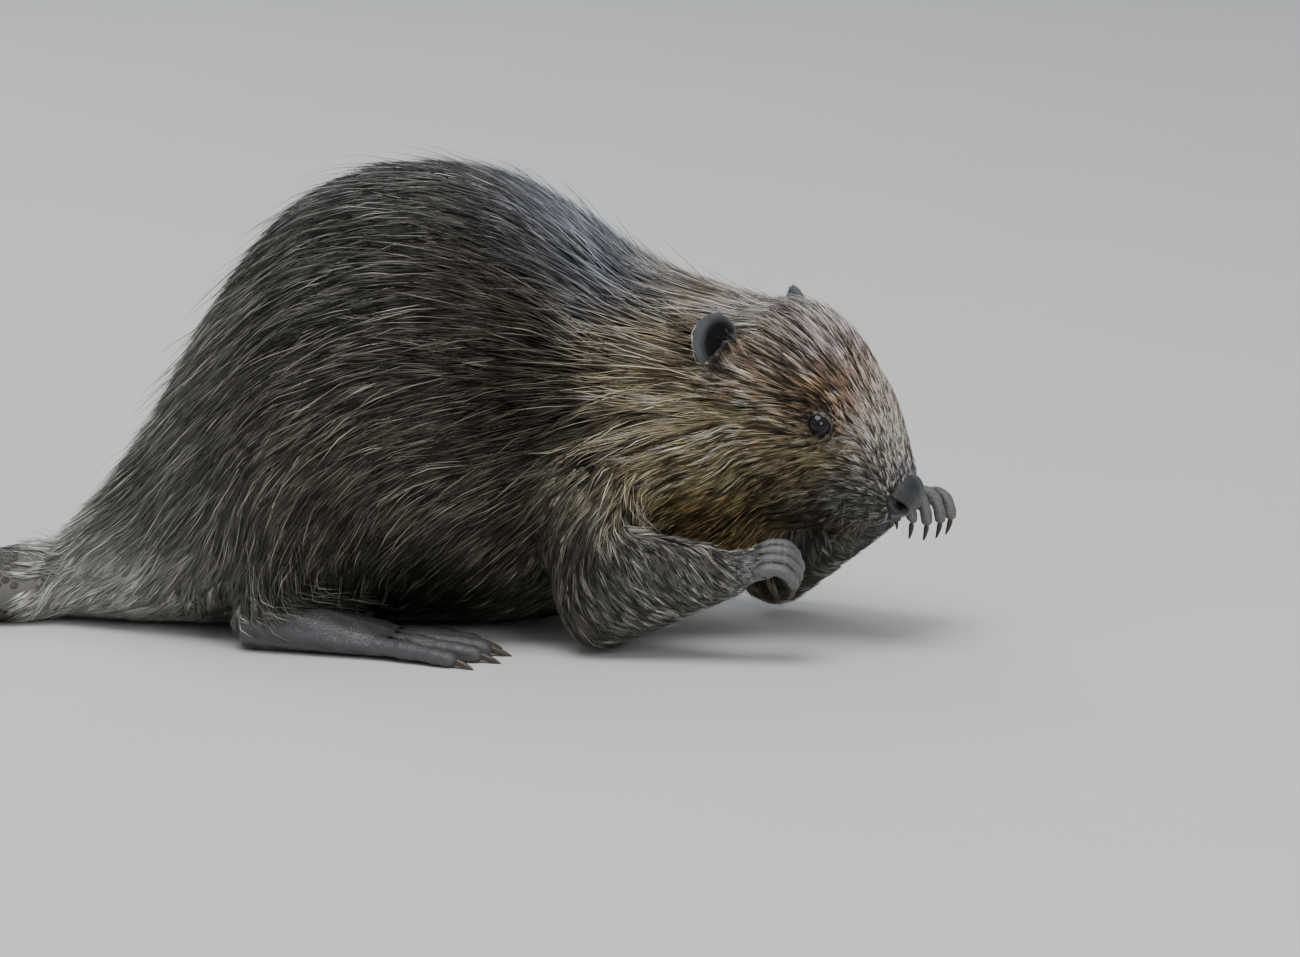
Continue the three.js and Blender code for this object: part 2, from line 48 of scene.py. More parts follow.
toModel = np.array([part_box("tail")[0].x * 1000 - tailTipX, 0.0, -footFlat])

headPitch, headYaw = np.radians([31.0, 25.0])
noseTip = np.array([251.0, -100.0, 92.0])
headOn = np.cos(headPitch) * np.array([np.cos(headYaw), -np.sin(headYaw), 0]) - [0, 0, np.sin(headPitch)]
headSide = np.array([-np.sin(headYaw), -np.cos(headYaw), 0.0])  # towards its right
headUp = np.cross(headSide, headOn)
sides = {"right": -1, "left": 1}
arms = {  # shoulder, elbow and wrist
    "right": np.array([(36, -82, 124), (54, -113, 42), (139, -139, 54)], float),
    "left": np.array([(80, 50, 114), (158, 28, 41), (238, -20, 78)], float),
}


def unit(v):  # each row brought to length 1
    return v / np.maximum(np.linalg.norm(v, axis=-1, keepdims=True), 1e-9)


def lengthOf(v):  # of each row
    return np.linalg.norm(v, axis=1)


def inPlane(ways, normals):  # each way brought into the plane across its normal, to length 1
    return unit(ways - normals * (ways * normals).sum(1, keepdims=True))


def circle(count):  # angles evenly round it
    return np.linspace(0, 2 * np.pi, count, endpoint=False)


def ballGrid(rows, columns):  # angles down from its pole and round it, and its height and two breadths there
    down, around = np.linspace(0, np.pi, rows)[1:-1, None], circle(columns)[None]
    pole, width = np.cos(down) * np.ones_like(around), np.sin(down)
    return down, around, pole, width * np.cos(around), width * np.sin(around)


def smooth(low, high, x):  # 0 up to low, 1 from high, and 3t^2 - 2t^3 between
    t = np.clip((x - low) / (high - low), 0, 1)
    return t * t * (3 - 2 * t)


def mix(a, b, t):  # straight from a at 0 to b at 1
    return a + (b - a) * t


def linear(r, g, b):  # a screen colour, 0 to 255, as the light it stands for
    c = np.array([r, g, b]) / 255
    return np.where(c > 0.04045, ((c + 0.055) / 1.055) ** 2.4, c / 12.92)


# soft noise from -1 to 1: three slanted sine waves of one wavelength, each bent by the next
def ripple(points, wavelength, seed):
    ways = np.random.default_rng(seed).normal(size=(3, 3))
    ways = unit(ways) * (2 * np.pi / wavelength)
    first = np.sin(points @ ways[0] + seed)
    second = np.sin(points @ ways[1] + 1.7 * first + 2 * seed)
    return 0.6 * np.sin(points @ ways[2] + 1.7 * second) + 0.4 * second


def inHead(back, right, above):  # the point that lies so far from the nose tip along the head's own axes
    on, across, up = (np.multiply.outer(np.asarray(share, float), way)
                      for share, way in ((back, -headOn), (right, headSide), (above, headUp)))
    return noseTip + (on + across) + up


def headPlace(points):  # behind the nose tip, to the head's right, and above the nose tip
    d = points - noseTip
    return -d @ headOn, d @ headSide, d @ headUp


# values given at a few places, blended by the inverse fourth power of the distance
def blendFrom(here, places, values, softness):
    gap = ((here[:, None, :] - places[None]) ** 2).sum(-1) + softness ** 2
    weight = gap ** -2.0
    return (weight @ values) / weight.sum(1, keepdims=True)


def meshFrom(name, points, faces):  # points in millimetres; faces as arrays of three, four or six corners
    mesh = bpy.data.meshes.new(name)
    mesh.vertices.add(len(points))
    mesh.vertices.foreach_set("co", ((points + toModel) / 1000).astype(np.float32).ravel())
    if faces:
        corners = np.concatenate([f.ravel() for f in faces]).astype(np.int32)
        sizes = np.concatenate([np.full(len(f), f.shape[1]) for f in faces])
        mesh.loops.add(len(corners))
        mesh.loops.foreach_set("vertex_index", corners)
        mesh.polygons.add(len(sizes))
        mesh.polygons.foreach_set("loop_start", (np.cumsum(sizes) - sizes).astype(np.int32))
        mesh.polygons.foreach_set("use_smooth", np.ones(len(sizes), bool))
    mesh.update(calc_edges=True)
    return mesh


def objectFrom(name, points, faces):
    made = bpy.data.objects.new(name, meshFrom(name, points, faces))
    bpy.context.scene.collection.objects.link(made)
    return made


def outwards(made):  # merges doubles and turns every face to point out
    form = bmesh.new()
    form.from_mesh(made.data)
    bmesh.ops.remove_doubles(form, verts=form.verts, dist=1e-6)
    bmesh.ops.recalc_face_normals(form, faces=form.faces)
    form.to_mesh(made.data)
    form.free()
    return made


def colourVerts(made, name, colours):
    layer = made.data.color_attributes.new(name, "FLOAT_COLOR", "POINT")
    filled = np.ones((len(colours), 4), np.float32)
    filled[:, :3] = colours
    layer.data.foreach_set("color", filled.ravel())


def markVerts(made, name, values):
    layer = made.data.attributes.new(name, "FLOAT", "POINT")
    layer.data.foreach_set("value", np.asarray(values, np.float32))


def pointsOf(mesh):
    co = np.empty(len(mesh.vertices) * 3, np.float32)
    mesh.vertices.foreach_get("co", co)
    return co.reshape(-1, 3).astype(float) * 1000 - toModel


def finishedMesh(made):  # the mesh that its modifiers give
    bpy.context.view_layer.update()
    return bpy.data.meshes.new_from_object(made.evaluated_get(bpy.context.evaluated_depsgraph_get()))


def discard(made):
    mesh = made.data
    bpy.data.objects.remove(made)
    bpy.data.meshes.remove(mesh)


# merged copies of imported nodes, swollen along their normals, and other closed shapes, as one scratch object
def copyOf(nodes, swell=0.0, others=()):
    points, faces, count = [], [], 0
    for node in nodes:
        form = bmesh.new()
        form.from_mesh(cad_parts[node].data)
        bmesh.ops.remove_doubles(form, verts=form.verts, dist=1e-6)
        bmesh.ops.triangulate(form, faces=form.faces)
        form.normal_update()
        form.verts.ensure_lookup_table()
        here = np.array([v.co for v in form.verts]) * 1000 - toModel
        out = np.array([v.normal for v in form.verts])
        points.append(here + (0.0 if node.startswith(bareLimbs) else swell) * out)
        faces.append(np.array([[v.index for v in f.verts] for f in form.faces]) + count)
        count += len(here)
        form.free()
    quads = []
    for shape, (squares, ends) in others:
        points.append(shape)
        quads.append(squares + count)
        faces.append(ends + count)
        count += len(shape)
    return objectFrom("scratch", np.vstack(points), [np.vstack(f) for f in (faces, quads) if f])


def nearestOn(points, target):  # the nearest place of another surface, for every point
    probe = objectFrom("probe", points, [])
    fit = probe.modifiers.new("fit", "SHRINKWRAP")
    fit.target = target
    fit.wrap_method = "NEAREST_SURFACEPOINT"
    mesh = finishedMesh(probe)
    found = pointsOf(mesh)
    bpy.data.meshes.remove(mesh)
    discard(probe)
    return found


view = {
    "target": (90.0, 6.4, 84.3),  # mm
    "distance": 6000.0,
    "elevation": 10.0,
    "lens": 276.9,
}
studio = {
    "floor": 30000.0,  # mm from its middle to each side
    "sky": (0.86, 0.92, 1.0, 1),
    "skyStrength": 0.55,
    "lamps": {  # place in metres, size, power, colour
        "overhead": ((-0.3, -0.9, 3.2), 2.4, 82, (1.0, 0.98, 0.95)),
        "front": ((1.6, -3.2, 1.6), 1.6, 38, (1.0, 0.97, 0.94)),
        "behind": ((-1.2, 2.6, 2.0), 1.8, 30, (0.92, 0.96, 1.0)),
    },
    "lampAim": (0, 0, 0.12),  # metres
}


def makeStage():
    camera = bpy.data.objects.new("camera", bpy.data.cameras.new("camera"))
    bpy.context.scene.collection.objects.link(camera)
    lift = np.radians(view["elevation"])
    away = np.array([0.0, -np.cos(lift), np.sin(lift)])
    camera.location = (np.array(view["target"]) + view["distance"] * away + toModel) / 1000
    camera.rotation_euler = (np.pi / 2 - lift, 0, 0)
    camera.data.lens = view["lens"]
    camera.data.sensor_width = 36
    camera.data.clip_end = 100
    bpy.context.scene.camera = camera

    size = studio["floor"]
    corners = np.array([[-size, -size, 0], [size, -size, 0], [size, size, 0], [-size, size, 0]])
    floor = objectFrom("floor", corners + [0, 0, footFlat], [np.array([[0, 1, 2, 3]])])
    floor.data.materials.append(floorPaint())

    world = bpy.data.worlds.new("studio")
    bpy.context.scene.world = world
    world.use_nodes = True
    sky = world.node_tree.nodes["Background"]
    sky.inputs["Color"].default_value = studio["sky"]
    sky.inputs["Strength"].default_value = studio["skyStrength"]

    for name, lamp in studio["lamps"].items():
        addLamp(name, *lamp)


def addLamp(name, place, size, power, colour):
    lamp = bpy.data.objects.new(name, bpy.data.lights.new(name, "AREA"))
    bpy.context.scene.collection.objects.link(lamp)
    lamp.data.shape = "DISK"
    lamp.data.size = size
    lamp.data.energy = power
    lamp.data.color = colour
    lamp.location = place
    aim = np.array(studio["lampAim"]) - place
    flat = np.hypot(aim[0], aim[1])
    lamp.rotation_euler = (np.arctan2(flat, -aim[2]), 0, np.arctan2(aim[1], aim[0]) - np.pi / 2)


class Wire:  # a shader socket that can be added, subtracted and multiplied
    def __init__(self, kit, socket):
        self.kit = kit
        self.socket = socket

    def maths(self, operation, a, b):
        return self.kit.node("ShaderNodeMath", {"operation": operation}, {0: a, 1: b})

    def __add__(self, other):
        return self.maths("ADD", self, other)

    def __radd__(self, other):
        return self.maths("ADD", other, self)

    def __sub__(self, other):
        return self.maths("SUBTRACT", self, other)

    def __rsub__(self, other):
        return self.maths("SUBTRACT", other, self)

    def __mul__(self, other):
        return self.maths("MULTIPLY", self, other)

    def __rmul__(self, other):
        return self.maths("MULTIPLY", other, self)


class Paint:  # one material and the nodes that feed its shader
    def __init__(self, name, **constants):
        self.material = bpy.data.materials.new(name)
        self.material.use_nodes = True
        self.tree = self.material.node_tree
        self.shader = self.tree.nodes["Principled BSDF"]
        for socket, value in constants.items():
            self.shader.inputs[socket.replace("_", " ")].default_value = value

    def node(self, kind, settings=None, inputs=None, out=0):
        made = self.tree.nodes.new(kind)
        for key, value in (settings or {}).items():
            setattr(made, key, value)
        for key, value in (inputs or {}).items():
            if isinstance(value, Wire):
                self.tree.links.new(value.socket, made.inputs[key])
            else:
                made.inputs[key].default_value = value
        return Wire(self, made.outputs[out])

    def feed(self, **links):
        for socket, wire in links.items():
            self.tree.links.new(wire.socket, self.shader.inputs[socket.replace("_", " ")])

    def place(self, scale=1.0):  # the piece's own coordinates, in millimetres over scale
        there = self.node("ShaderNodeTexCoord", out="Object")
        return self.node("ShaderNodeVectorMath", {"operation": "SCALE"}, {0: there, "Scale": 1000.0 / scale})

    def noise(self, size, detail=2.0):
        inputs = {"Vector": self.place(size), "Scale": 1.0, "Detail": detail}
        return self.node("ShaderNodeTexNoise", {}, inputs)

    def cells(self, size, feature="F1"):
        inputs = {"Vector": self.place(size), "Scale": 1.0}
        return self.node("ShaderNodeTexVoronoi", {"feature": feature}, inputs, out="Distance")

    def attribute(self, name, out="Color"):
        return self.node("ShaderNodeAttribute", {"attribute_name": name}, out=out)

    def tint(self, factor, a, b, blend="MIX"):
        settings = {"data_type": "RGBA", "blend_type": blend}
        return self.node("ShaderNodeMix", settings, {0: factor, 6: a, 7: b}, out=2)

    def bump(self, height, distance):  # distance in millimetres
        inputs = {"Height": height, "Distance": distance / 1000, "Strength": 1.0}
        return self.node("ShaderNodeBump", {}, inputs, out="Normal")


def floorPaint():
    paint = Paint("paleFloor", Roughness=0.85)
    shade = paint.noise(400, detail=3.0)
    paint.feed(Base_Color=paint.tint(shade, (0.60, 0.595, 0.58, 1), (0.66, 0.655, 0.64, 1)))
    return paint.material


def coatPaint():
    paint = Paint("coatHair", Roughness=0.34, Specular_IOR_Level=0.48, Specular_Tint=(1.0, 0.94, 0.87, 1))
    paint.feed(Base_Color=paint.attribute("hairColour"))
    return paint.material


def skinPaint():
    paint = Paint("beaverSkin", Specular_IOR_Level=0.4)
    bare = paint.attribute("bareSkin", out="Fac")
    fine = paint.cells(1.15, feature="DISTANCE_TO_EDGE")
    coarse = paint.noise(4.0, detail=4.0)
    grain = paint.noise(0.9, detail=3.0)
    own = paint.attribute("skinColour")
    worn = paint.tint(coarse * 0.55, own, (0.10, 0.10, 0.108, 1), "SOFT_LIGHT")
    # painted shade: bare skin darker along the grooves between its pebbles
    grooveShade = paint.tint(bare * (1 - fine * 6.0) * 0.25, worn, (0.02, 0.018, 0.018, 1))
    height = (fine * 0.8 + coarse * 0.7 + grain * 0.3) * bare + grain * (1 - bare) * 0.5
    dull = paint.attribute("earCup", out="Fac") * 0.34
    paint.feed(Base_Color=grooveShade, Roughness=0.66 - bare * 0.39 + dull + (grain - 0.5) * 0.15,
               Normal=paint.bump(height, 0.45))
    return paint.material


def scalePaint():
    paint = Paint("tailScale", Specular_IOR_Level=0.45)
    patch = paint.noise(16.0, detail=4.0)
    grain = paint.noise(0.8, detail=3.0)
    own = paint.attribute("scaleColour")
    worn = paint.tint(patch * 0.6, own, (0.11, 0.095, 0.078, 1), "SOFT_LIGHT")
    paint.feed(Base_Color=worn, Roughness=0.45 + patch * 0.25, Normal=paint.bump(grain + patch * 0.5, 0.25))
    return paint.material


def hornPaint():
    paint = Paint("clawHorn", Coat_Roughness=0.2, Specular_IOR_Level=0.5)
    streak = paint.noise(1.1, detail=4.0)
    broad = paint.noise(7.0)
    horn = paint.tint(broad * 0.5 + streak * 0.5, (0.018, 0.013, 0.011, 1), (0.085, 0.062, 0.045, 1))
    paint.feed(Base_Color=horn, Roughness=0.30 + streak * 0.2, Normal=paint.bump(streak, 0.15))
    return paint.material


def eyePaint():
    paint = Paint("wetEye", Roughness=0.11, Specular_IOR_Level=0.36)
    fleck = paint.noise(0.9, detail=3.0)
    own = paint.attribute("eyeColour")
    paint.feed(Base_Color=paint.tint(fleck * 0.4, own, (0.012, 0.008, 0.005, 1), "SOFT_LIGHT"))
    return paint.material


def lidPaint():
    paint = Paint("lidSkin", Specular_IOR_Level=0.5)
    fine = paint.noise(0.8, detail=3.0)
    paint.feed(Base_Color=paint.tint(fine, (0.026, 0.028, 0.030, 1), (0.070, 0.075, 0.082, 1)),
               Roughness=0.34 + fine * 0.2, Normal=paint.bump(fine, 0.25))
    return paint.material


def nosePaint():
    paint = Paint("noseLeather", Specular_IOR_Level=0.5)
    pebbles = paint.cells(0.95)
    broad = paint.noise(6.0, detail=3.0)
    # painted shade: the nostrils' dents are painted nearly black
    depth = paint.attribute("nostril", out="Fac")
    base = paint.tint(broad, (0.009, 0.010, 0.011, 1), (0.033, 0.036, 0.040, 1))
    paint.feed(Base_Color=paint.tint(depth, base, (0.004, 0.003, 0.003, 1)), Roughness=0.22 + pebbles * 0.25,
               Normal=paint.bump((1 - pebbles) * 1.2 + broad, 0.28))
    return paint.material


def whiskerPaint():
    paint = Paint("whiskerHair", Roughness=0.35, Specular_IOR_Level=0.5)
    paint.feed(Base_Color=paint.attribute("hairColour"))
    return paint.material


# the lie of the body's coat, seen from its right: x, height, and its way in degrees, 0 forwards and 90 up
bodyLie = np.array([
    (60, 255, 132), (12, 250, 143), (-36, 265, 166), (-84, 260, 184), (-132, 206, 212), (-108, 190, 197),
    (-60, 192, 169), (12, 192, 140), (84, 208, 155), (36, 172, 143), (90, 175, 173), (-36, 157, 181),
    (-156, 150, 230), (-180, 118, 240), (12, 138, 166), (60, 120, 186), (-36, 118, 204), (-108, 118, 214),
    (84, 100, 218), (12, 102, 188), (-60, 102, 197), (-130, 100, 254), (84, 62, 226), (36, 62, 206),
    (-36, 62, 226), (-108, 62, 264), (-204, 75, 208), (-245, 48, 200), (-60, 5, 196),
], float)
# on the head: back, above, and its way in degrees, 0 straight back and 90 up
headLie = np.array([
    (12, 6, 42), (29, 19, 46), (47, 48, 30), (70, 48, 21), (56, 24, 16), (95, 42, 1), (107, 55, 7),
    (127, 42, -2), (85, 28, -11), (46, 9, -20), (30, -6, -22), (75, 10, -28), (105, 12, -13), (66, -4, -42),
    (95, 0, -32), (85, -16, -44), (57, -20, -54), (76, -32, -60), (46, -40, -64), (106, -30, -54),
    (125, 0, -25), (135, -45, -58), (24, -28, -40), (160, 30, -10),
], float)

# paler and darker colours of the coat by region: place, ground colour, tip colour, dark gaps (the roots'
# colour, partly the darker underfur and partly painted shade between the locks)
bodyTones = [
    ((-60, 270), (50, 49, 46), (148, 146, 142), (13, 12, 10)),  # top of the back
    ((-60, 200), (44, 42, 37), (150, 147, 137), (8, 7, 5)),  # side of the back
    ((-60, 130), (73, 70, 60), (131, 127, 114), (13, 12, 10)),  # flank
    ((-60, 45), (50, 49, 42), (94, 92, 83), (13, 12, 9)),  # low flank
    ((-200, 110), (87, 86, 79), (147, 145, 137), (14, 13, 11)),  # rump
    ((-262, 40), (200, 198, 189), (254, 252, 244), (66, 64, 57)),  # tail root, painted nearly white to lift the shade that falls on it
    ((40, 150), (12, 10, 8), (74, 66, 53), (3, 2, 2)),  # shoulder
    ((30, 190), (25, 22, 17), (100, 91, 76), (4, 3, 2)),  # dark patch behind the neck
    ((75, 228), (63, 66, 73), (144, 150, 163), (13, 14, 17)),  # top of the neck, this entry and the next: blue-grey, partly its own tone and partly painted sky sheen
    ((95, 205), (64, 66, 73), (139, 144, 155), (14, 15, 17)),
    ((110, 165), (134, 118, 92), (236, 221, 190), (15, 11, 7)),  # side of the neck
    ((88, 98), (106, 98, 79), (196, 188, 163), (20, 16, 11)),  # below the neck
    ((60, 62), (64, 62, 53), (122, 118, 107), (14, 13, 10)),  # chest
]
headTones = [
    ((5, 9), (66, 67, 71), (156, 157, 162), (18, 18, 19)),  # above the nose pad
    ((26, 20), (90, 77, 66), (255, 244, 228), (11, 8, 6)),  # bridge
    ((50, 40), (90, 76, 68), (254, 236, 225), (13, 9, 7)),  # upper bridge
    ((80, 52), (71, 57, 53), (254, 228, 221), (9, 6, 5)),  # forehead
    ((70, 28), (12, 8, 5), (144, 118, 88), (2, 2, 1)),  # brow
    ((56, 32), (76, 56, 42), (242, 202, 168), (7, 5, 3)),  # between brow and bridge
    ((125, 58), (72, 65, 61), (232, 219, 210), (11, 9, 8)),  # crown
    ((112, 20), (72, 57, 42), (240, 215, 184), (8, 5, 3)),  # before the ear
    ((100, -15), (120, 99, 67), (254, 233, 190), (8, 5, 2)),  # cheek
    ((78, -52), (48, 37, 20), (172, 144, 96), (5, 3, 2)),  # low cheek
    ((28, -14), (78, 77, 69), (182, 180, 166), (9, 8, 7)),  # muzzle
    ((36, -44), (60, 57, 46), (122, 116, 98), (10, 9, 7)),  # chin
    ((52, -4), (66, 54, 35), (216, 192, 148), (7, 4, 2)),  # beside the muzzle
]
# the forearm's and the ear's ground, tip and gap colours; the gaps, as above, are partly painted shade
armTone = ((93, 93, 92), (200, 202, 207), (9, 9, 9))
earTone = ((97, 101, 106), (132, 135, 140), (46, 47, 49))
# painted shade: near black for the deep middle of the ear's cup
earCupShade = linear(5, 4, 4)
slate = linear(66, 66, 68)
pawSlate = linear(84, 84, 84)
tailTone = linear(62, 58, 52)


def toneTable(tones):
    places = np.array([place for place, *rest in tones], float)
    colours = np.array([[linear(*c) for c in rest] for place, *rest in tones])
    return places, colours.reshape(len(tones), -1)


def headShare(points):  # 1 on the head, falling to 0 over the neck
    back, right, above = headPlace(points)
    return (1 - smooth(112, 165, back)) * (1 - smooth(85, 112, np.hypot(right, above + 5)))


# the way the coat lies: the tables' ways blended by distance, brought down into the skin's own plane
def lieOf(points, normals, part):
    turn = np.radians(bodyLie[:, 2])
    ways = np.stack([np.cos(turn), np.zeros_like(turn), np.sin(turn)], -1)
    body = unit(blendFrom(points[:, [0, 2]], bodyLie[:, :2], ways, 18))
    back, right, above = headPlace(points)
    turn = np.radians(headLie[:, 2])
    ways = np.stack([np.cos(turn), np.sin(turn)], -1)
    run = blendFrom(np.stack([back, above], -1), headLie[:, :2], ways, 6)
    outward = 0.12 * np.sign(right) * smooth(2, 14, np.abs(right))
    head = -headOn * run[:, :1] + headUp * run[:, 1:] + headSide * outward[:, None]
    lie = mix(body, unit(head), headShare(points)[:, None])
    lie = mix(lie, armLie(points), (part["foreleg"] * armNear(points) + part["forepaw"])[:, None])
    ear = headUp * 0.9 - headOn * 0.5
    lie = mix(lie, ear, smooth(0.5, 0.9, part["ear"])[:, None])
    lie = mix(lie, np.array([-1.0, 0, 0]), part["tail"][:, None])
    lie = mix(lie, np.array([0.9, 0, -0.3]), part["hindfoot"][:, None])
    return inPlane(lie, normals)


# the nearer forearm: how far along it from elbow to wrist, its way, and how near its line the place is
def nearArm(points):
    found = []
    for elbow, wrist in (arm[1:] for arm in arms.values()):
        reach = wrist - elbow
        share = ((points - elbow) @ reach) / (reach @ reach)
        gap = lengthOf(points - elbow - np.clip(share, 0, 1)[:, None] * reach)
        found.append((gap, share, np.broadcast_to(unit(reach), points.shape)))
    nearer = found[0][0] < found[1][0]
    return (np.where(nearer, found[0][1], found[1][1]), np.where(nearer[:, None], found[0][2], found[1][2]),
            np.minimum(found[0][0], found[1][0]))


def armNear(points):  # 1 close to a forearm's line
    return 1 - smooth(36, 58, nearArm(points)[2])


def armLie(points):  # along the forearm and hanging from it
    share, way = nearArm(points)[:2]
    along = mix(0.35, 0.75, smooth(0.6, 1.05, share))[:, None]
    hang = 1.0 * (1 - 0.45 * smooth(0.85, 1.15, share))[:, None]
    return unit(way * along - np.array([0, 0, 1.0]) * hang)


def coatDepth(points, part):  # mm from skin to tips: deep on the back, none on hands, feet and tail
    back = headPlace(points)[0]
    body = mix(6.5, 10.5, smooth(20, 230, points[:, 2]))
    head = np.interp(back, [5, 22, 45, 75, 120, 160], [0.8, 1.4, 2.4, 3.6, 6.0, 8.5])
    depth = mix(body, head, headShare(points))
    share = nearArm(points)[0]
    depth = mix(depth, np.interp(share, [-0.3, 0.3, 0.95], [6.0, 4.5, 1.6]), part["foreleg"])
    depth = mix(depth, 0.25, part["ear"])
    return depth * (1 - np.maximum.reduce([part["forepaw"], part["hindfoot"], part["tail"]]))


def coatTones(points, part):  # ground, tip and gap colours
    back, above = headPlace(points)[::2]
    tones = blendFrom(points[:, [0, 2]], *toneTable(bodyTones), 12)
    head = blendFrom(np.stack([back, above], -1), *toneTable(headTones), 6)
    tones = mix(tones, head, headShare(points)[:, None])
    leftArmPaintedLight = np.where(points[:, 1] > -50, 1.35, 1.0)[:, None]  # painted light: the left forearm, which lies in the head's shadow, is painted 1.35 times paler
    silver = np.concatenate([linear(*c) for c in armTone]) * leftArmPaintedLight
    share = nearArm(points)[0]
    armed = np.maximum(part["foreleg"] * armNear(points) * smooth(0.0, 0.5, share), part["forepaw"])
    tones = mix(tones, silver, armed[:, None])
    tones = mix(tones, np.concatenate([linear(*c) for c in earTone]), part["ear"][:, None])
    return tones[:, :3], tones[:, 3:6], tones[:, 6:]


bareLimbs = ("forepaw", "hindfoot")
hands = {  # where each hand points, which way its back faces, and how far its fingers curl over
    "right": {"forward": (0.78, -0.22, 0.42), "back": (-0.3, -0.36, 0.88), "bend": 122.0},
    "left": {"forward": (0.5, -0.8, 0.26), "back": (-0.1, 0.2, 0.95), "bend": 108.0},
}
fingers = [(-12.6, 25.0), (-4.3, 29.0), (4.3, 28.0), (12.4, 24.0)]  # place across the palm, length
toes = [(-19.0, 50.0, 6.2), (-9.0, 63.0, 7.0), (1.0, 72.0, 7.6), (11.0, 71.0, 7.6), (22.0, 62.0, 7.0)]
heel = np.array([-158.0, 96.0, 0.0])  # the left one
footHeading = 9.0  # degrees outwards
ballReach = 86.0  # heel to the ball of the foot


# closed surface from rings: quads between them and a fan at each end
def closedTube(rings, first, last):
    count, around = rings.shape[:2]
    points = np.vstack([rings.reshape(-1, 3), first, last])
    row = np.arange(count - 1)[:, None] * around
    j = np.arange(around)[None]
    k = (j + 1) % around
    quads = np.stack([row + j, row + k, row + around + k, row + around + j], -1).reshape(-1, 4)
    j, k = j[0], k[0]
    end = (count - 1) * around
    start = np.stack([np.full(around, count * around), k, j], -1)
    stop = np.stack([np.full(around, count * around + 1), end + j, end + k], -1)
    return points, [quads, np.vstack([start, stop])]


# a finger or toe: its line turns steadily from onward to down; round sections that swell at two knuckles and
# at the tip's pad, and run back under the skin of the palm as a low ridge
def digitTube(base, onward, down, length, startBend, bend, radius, flat, ridge):
    t = np.linspace(0, 1, 30)
    turn = np.radians(startBend + bend * t)
    way = np.cos(turn)[:, None] * onward + np.sin(turn)[:, None] * down
    line = base + np.cumsum(way, 0) * length / len(t)
    behind = np.linspace(1, 0.1, 7)
    line = np.vstack([base - behind[:, None] * (ridge * onward + 0.12 * ridge * down), line])
    way = np.vstack([np.repeat(way[:1], 7, 0), way])
    t = np.concatenate([-behind * 0.4, t])
    knuckles = 0.13 * np.exp(-((t - 0.02) / 0.12) ** 2) + 0.13 * np.exp(-((t - 0.42) / 0.10) ** 2)
    knuckles = knuckles + 0.10 * np.exp(-((t - 0.76) / 0.08) ** 2) + 0.10 * np.exp(-((t - 0.95) / 0.07) ** 2)
    creases = 0.05 * np.cos(2 * np.pi * t * 8) * (t > 0)
    thick = radius * (0.97 - 0.20 * np.clip(t, 0, 1)) * (1 + knuckles + creases)
    pad = np.sqrt(np.clip(1 - np.clip((t - 0.9) / 0.105, 0, 1) ** 2, 0.02, 1))
    thick = thick * pad * smooth(-0.55, -0.05, t)
    side = unit(np.cross(way, -down + 1e-3 * onward))
    top = np.cross(side, way)
    around = circle(18)
    across = np.cos(around)[None, :, None] * side[:, None]
    across = across + flat * np.sin(around)[None, :, None] * top[:, None]
    rings = line[:, None] + across * thick[:, None, None]
    return closedTube(rings, line[0], line[-1] + way[-1] * 0.2)


def handFrame(name):  # the wrist, the ways onward and across, and the way that the palm faces
    hand, side = hands[name], sides[name]
    onward = unit(np.array(hand["forward"]))
    across = unit(np.cross(np.array(hand["back"]), onward)) * side
    back = unit(np.cross(onward, across) * side)
    return arms[name][2], onward, across, -back


# the hand: a flat oval palm from inside the forearm to the knuckles, and its five digits
def handShapes():
    made = []
    for name in sides:
        wrist, onward, across, palm = handFrame(name)
        along = np.linspace(-14, 25, 30)
        wide = np.interp(along, [-14, 0, 12, 21, 25], [11.5, 12.0, 14.6, 16.4, 14.5])
        high = np.interp(along, [-14, 0, 12, 21, 25], [10.0, 9.2, 7.6, 5.6, 3.6])
        around = circle(40)
        section = (np.cos(around) * wide[:, None])[..., None] * across
        section = section - (np.sin(around) * high[:, None])[..., None] * palm
        middle = wrist + along[:, None] * onward + (0.008 * along ** 2)[:, None] * palm
        made.append(closedTube(middle[:, None] + section, middle[0], middle[-1] + 1.5 * onward))
        down = np.linspace(0, np.pi, 24)[1:-1, None, None]
        turn = around[None, :, None]
        rim = np.cos(turn) * 13.6 * across + np.sin(turn) * 12.4 * palm
        ball = wrist - 5 * onward
        rings = ball + 17 * np.cos(down) * onward + np.sin(down) * rim
        made.append(closedTube(rings, ball + 17 * onward, ball - 17 * onward))
        for over, length in fingers:
            base = wrist + 22 * onward + over * across + abs(over) * 0.13 * palm
            way = unit(onward + 0.011 * over * across)
            made.append(digitTube(base, way, palm, length, 4.0, hands[name]["bend"], 4.25, 0.97, 15.0))
        base = wrist + 11 * onward - 12 * across + 5 * palm
        made.append(digitTube(base, unit(onward - 0.35 * across), palm, 14.0, 30.0, 60.0, 4.0, 0.95, 4.0))
    return made


def handFur(points, normals):  # 1 on the wrist and the back of the hand
    share = np.zeros(len(points))
    for name in sides:
        wrist, onward, _, palm = handFrame(name)
        offset = points - wrist
        onBack = mix(smooth(-0.2, 0.4, -normals @ palm), 1, 1 - smooth(-4, 6, offset @ onward))
        near = lengthOf(offset) < 45
        share = np.maximum(share, near * onBack * (1 - smooth(10, 19, offset @ onward)))
    return share


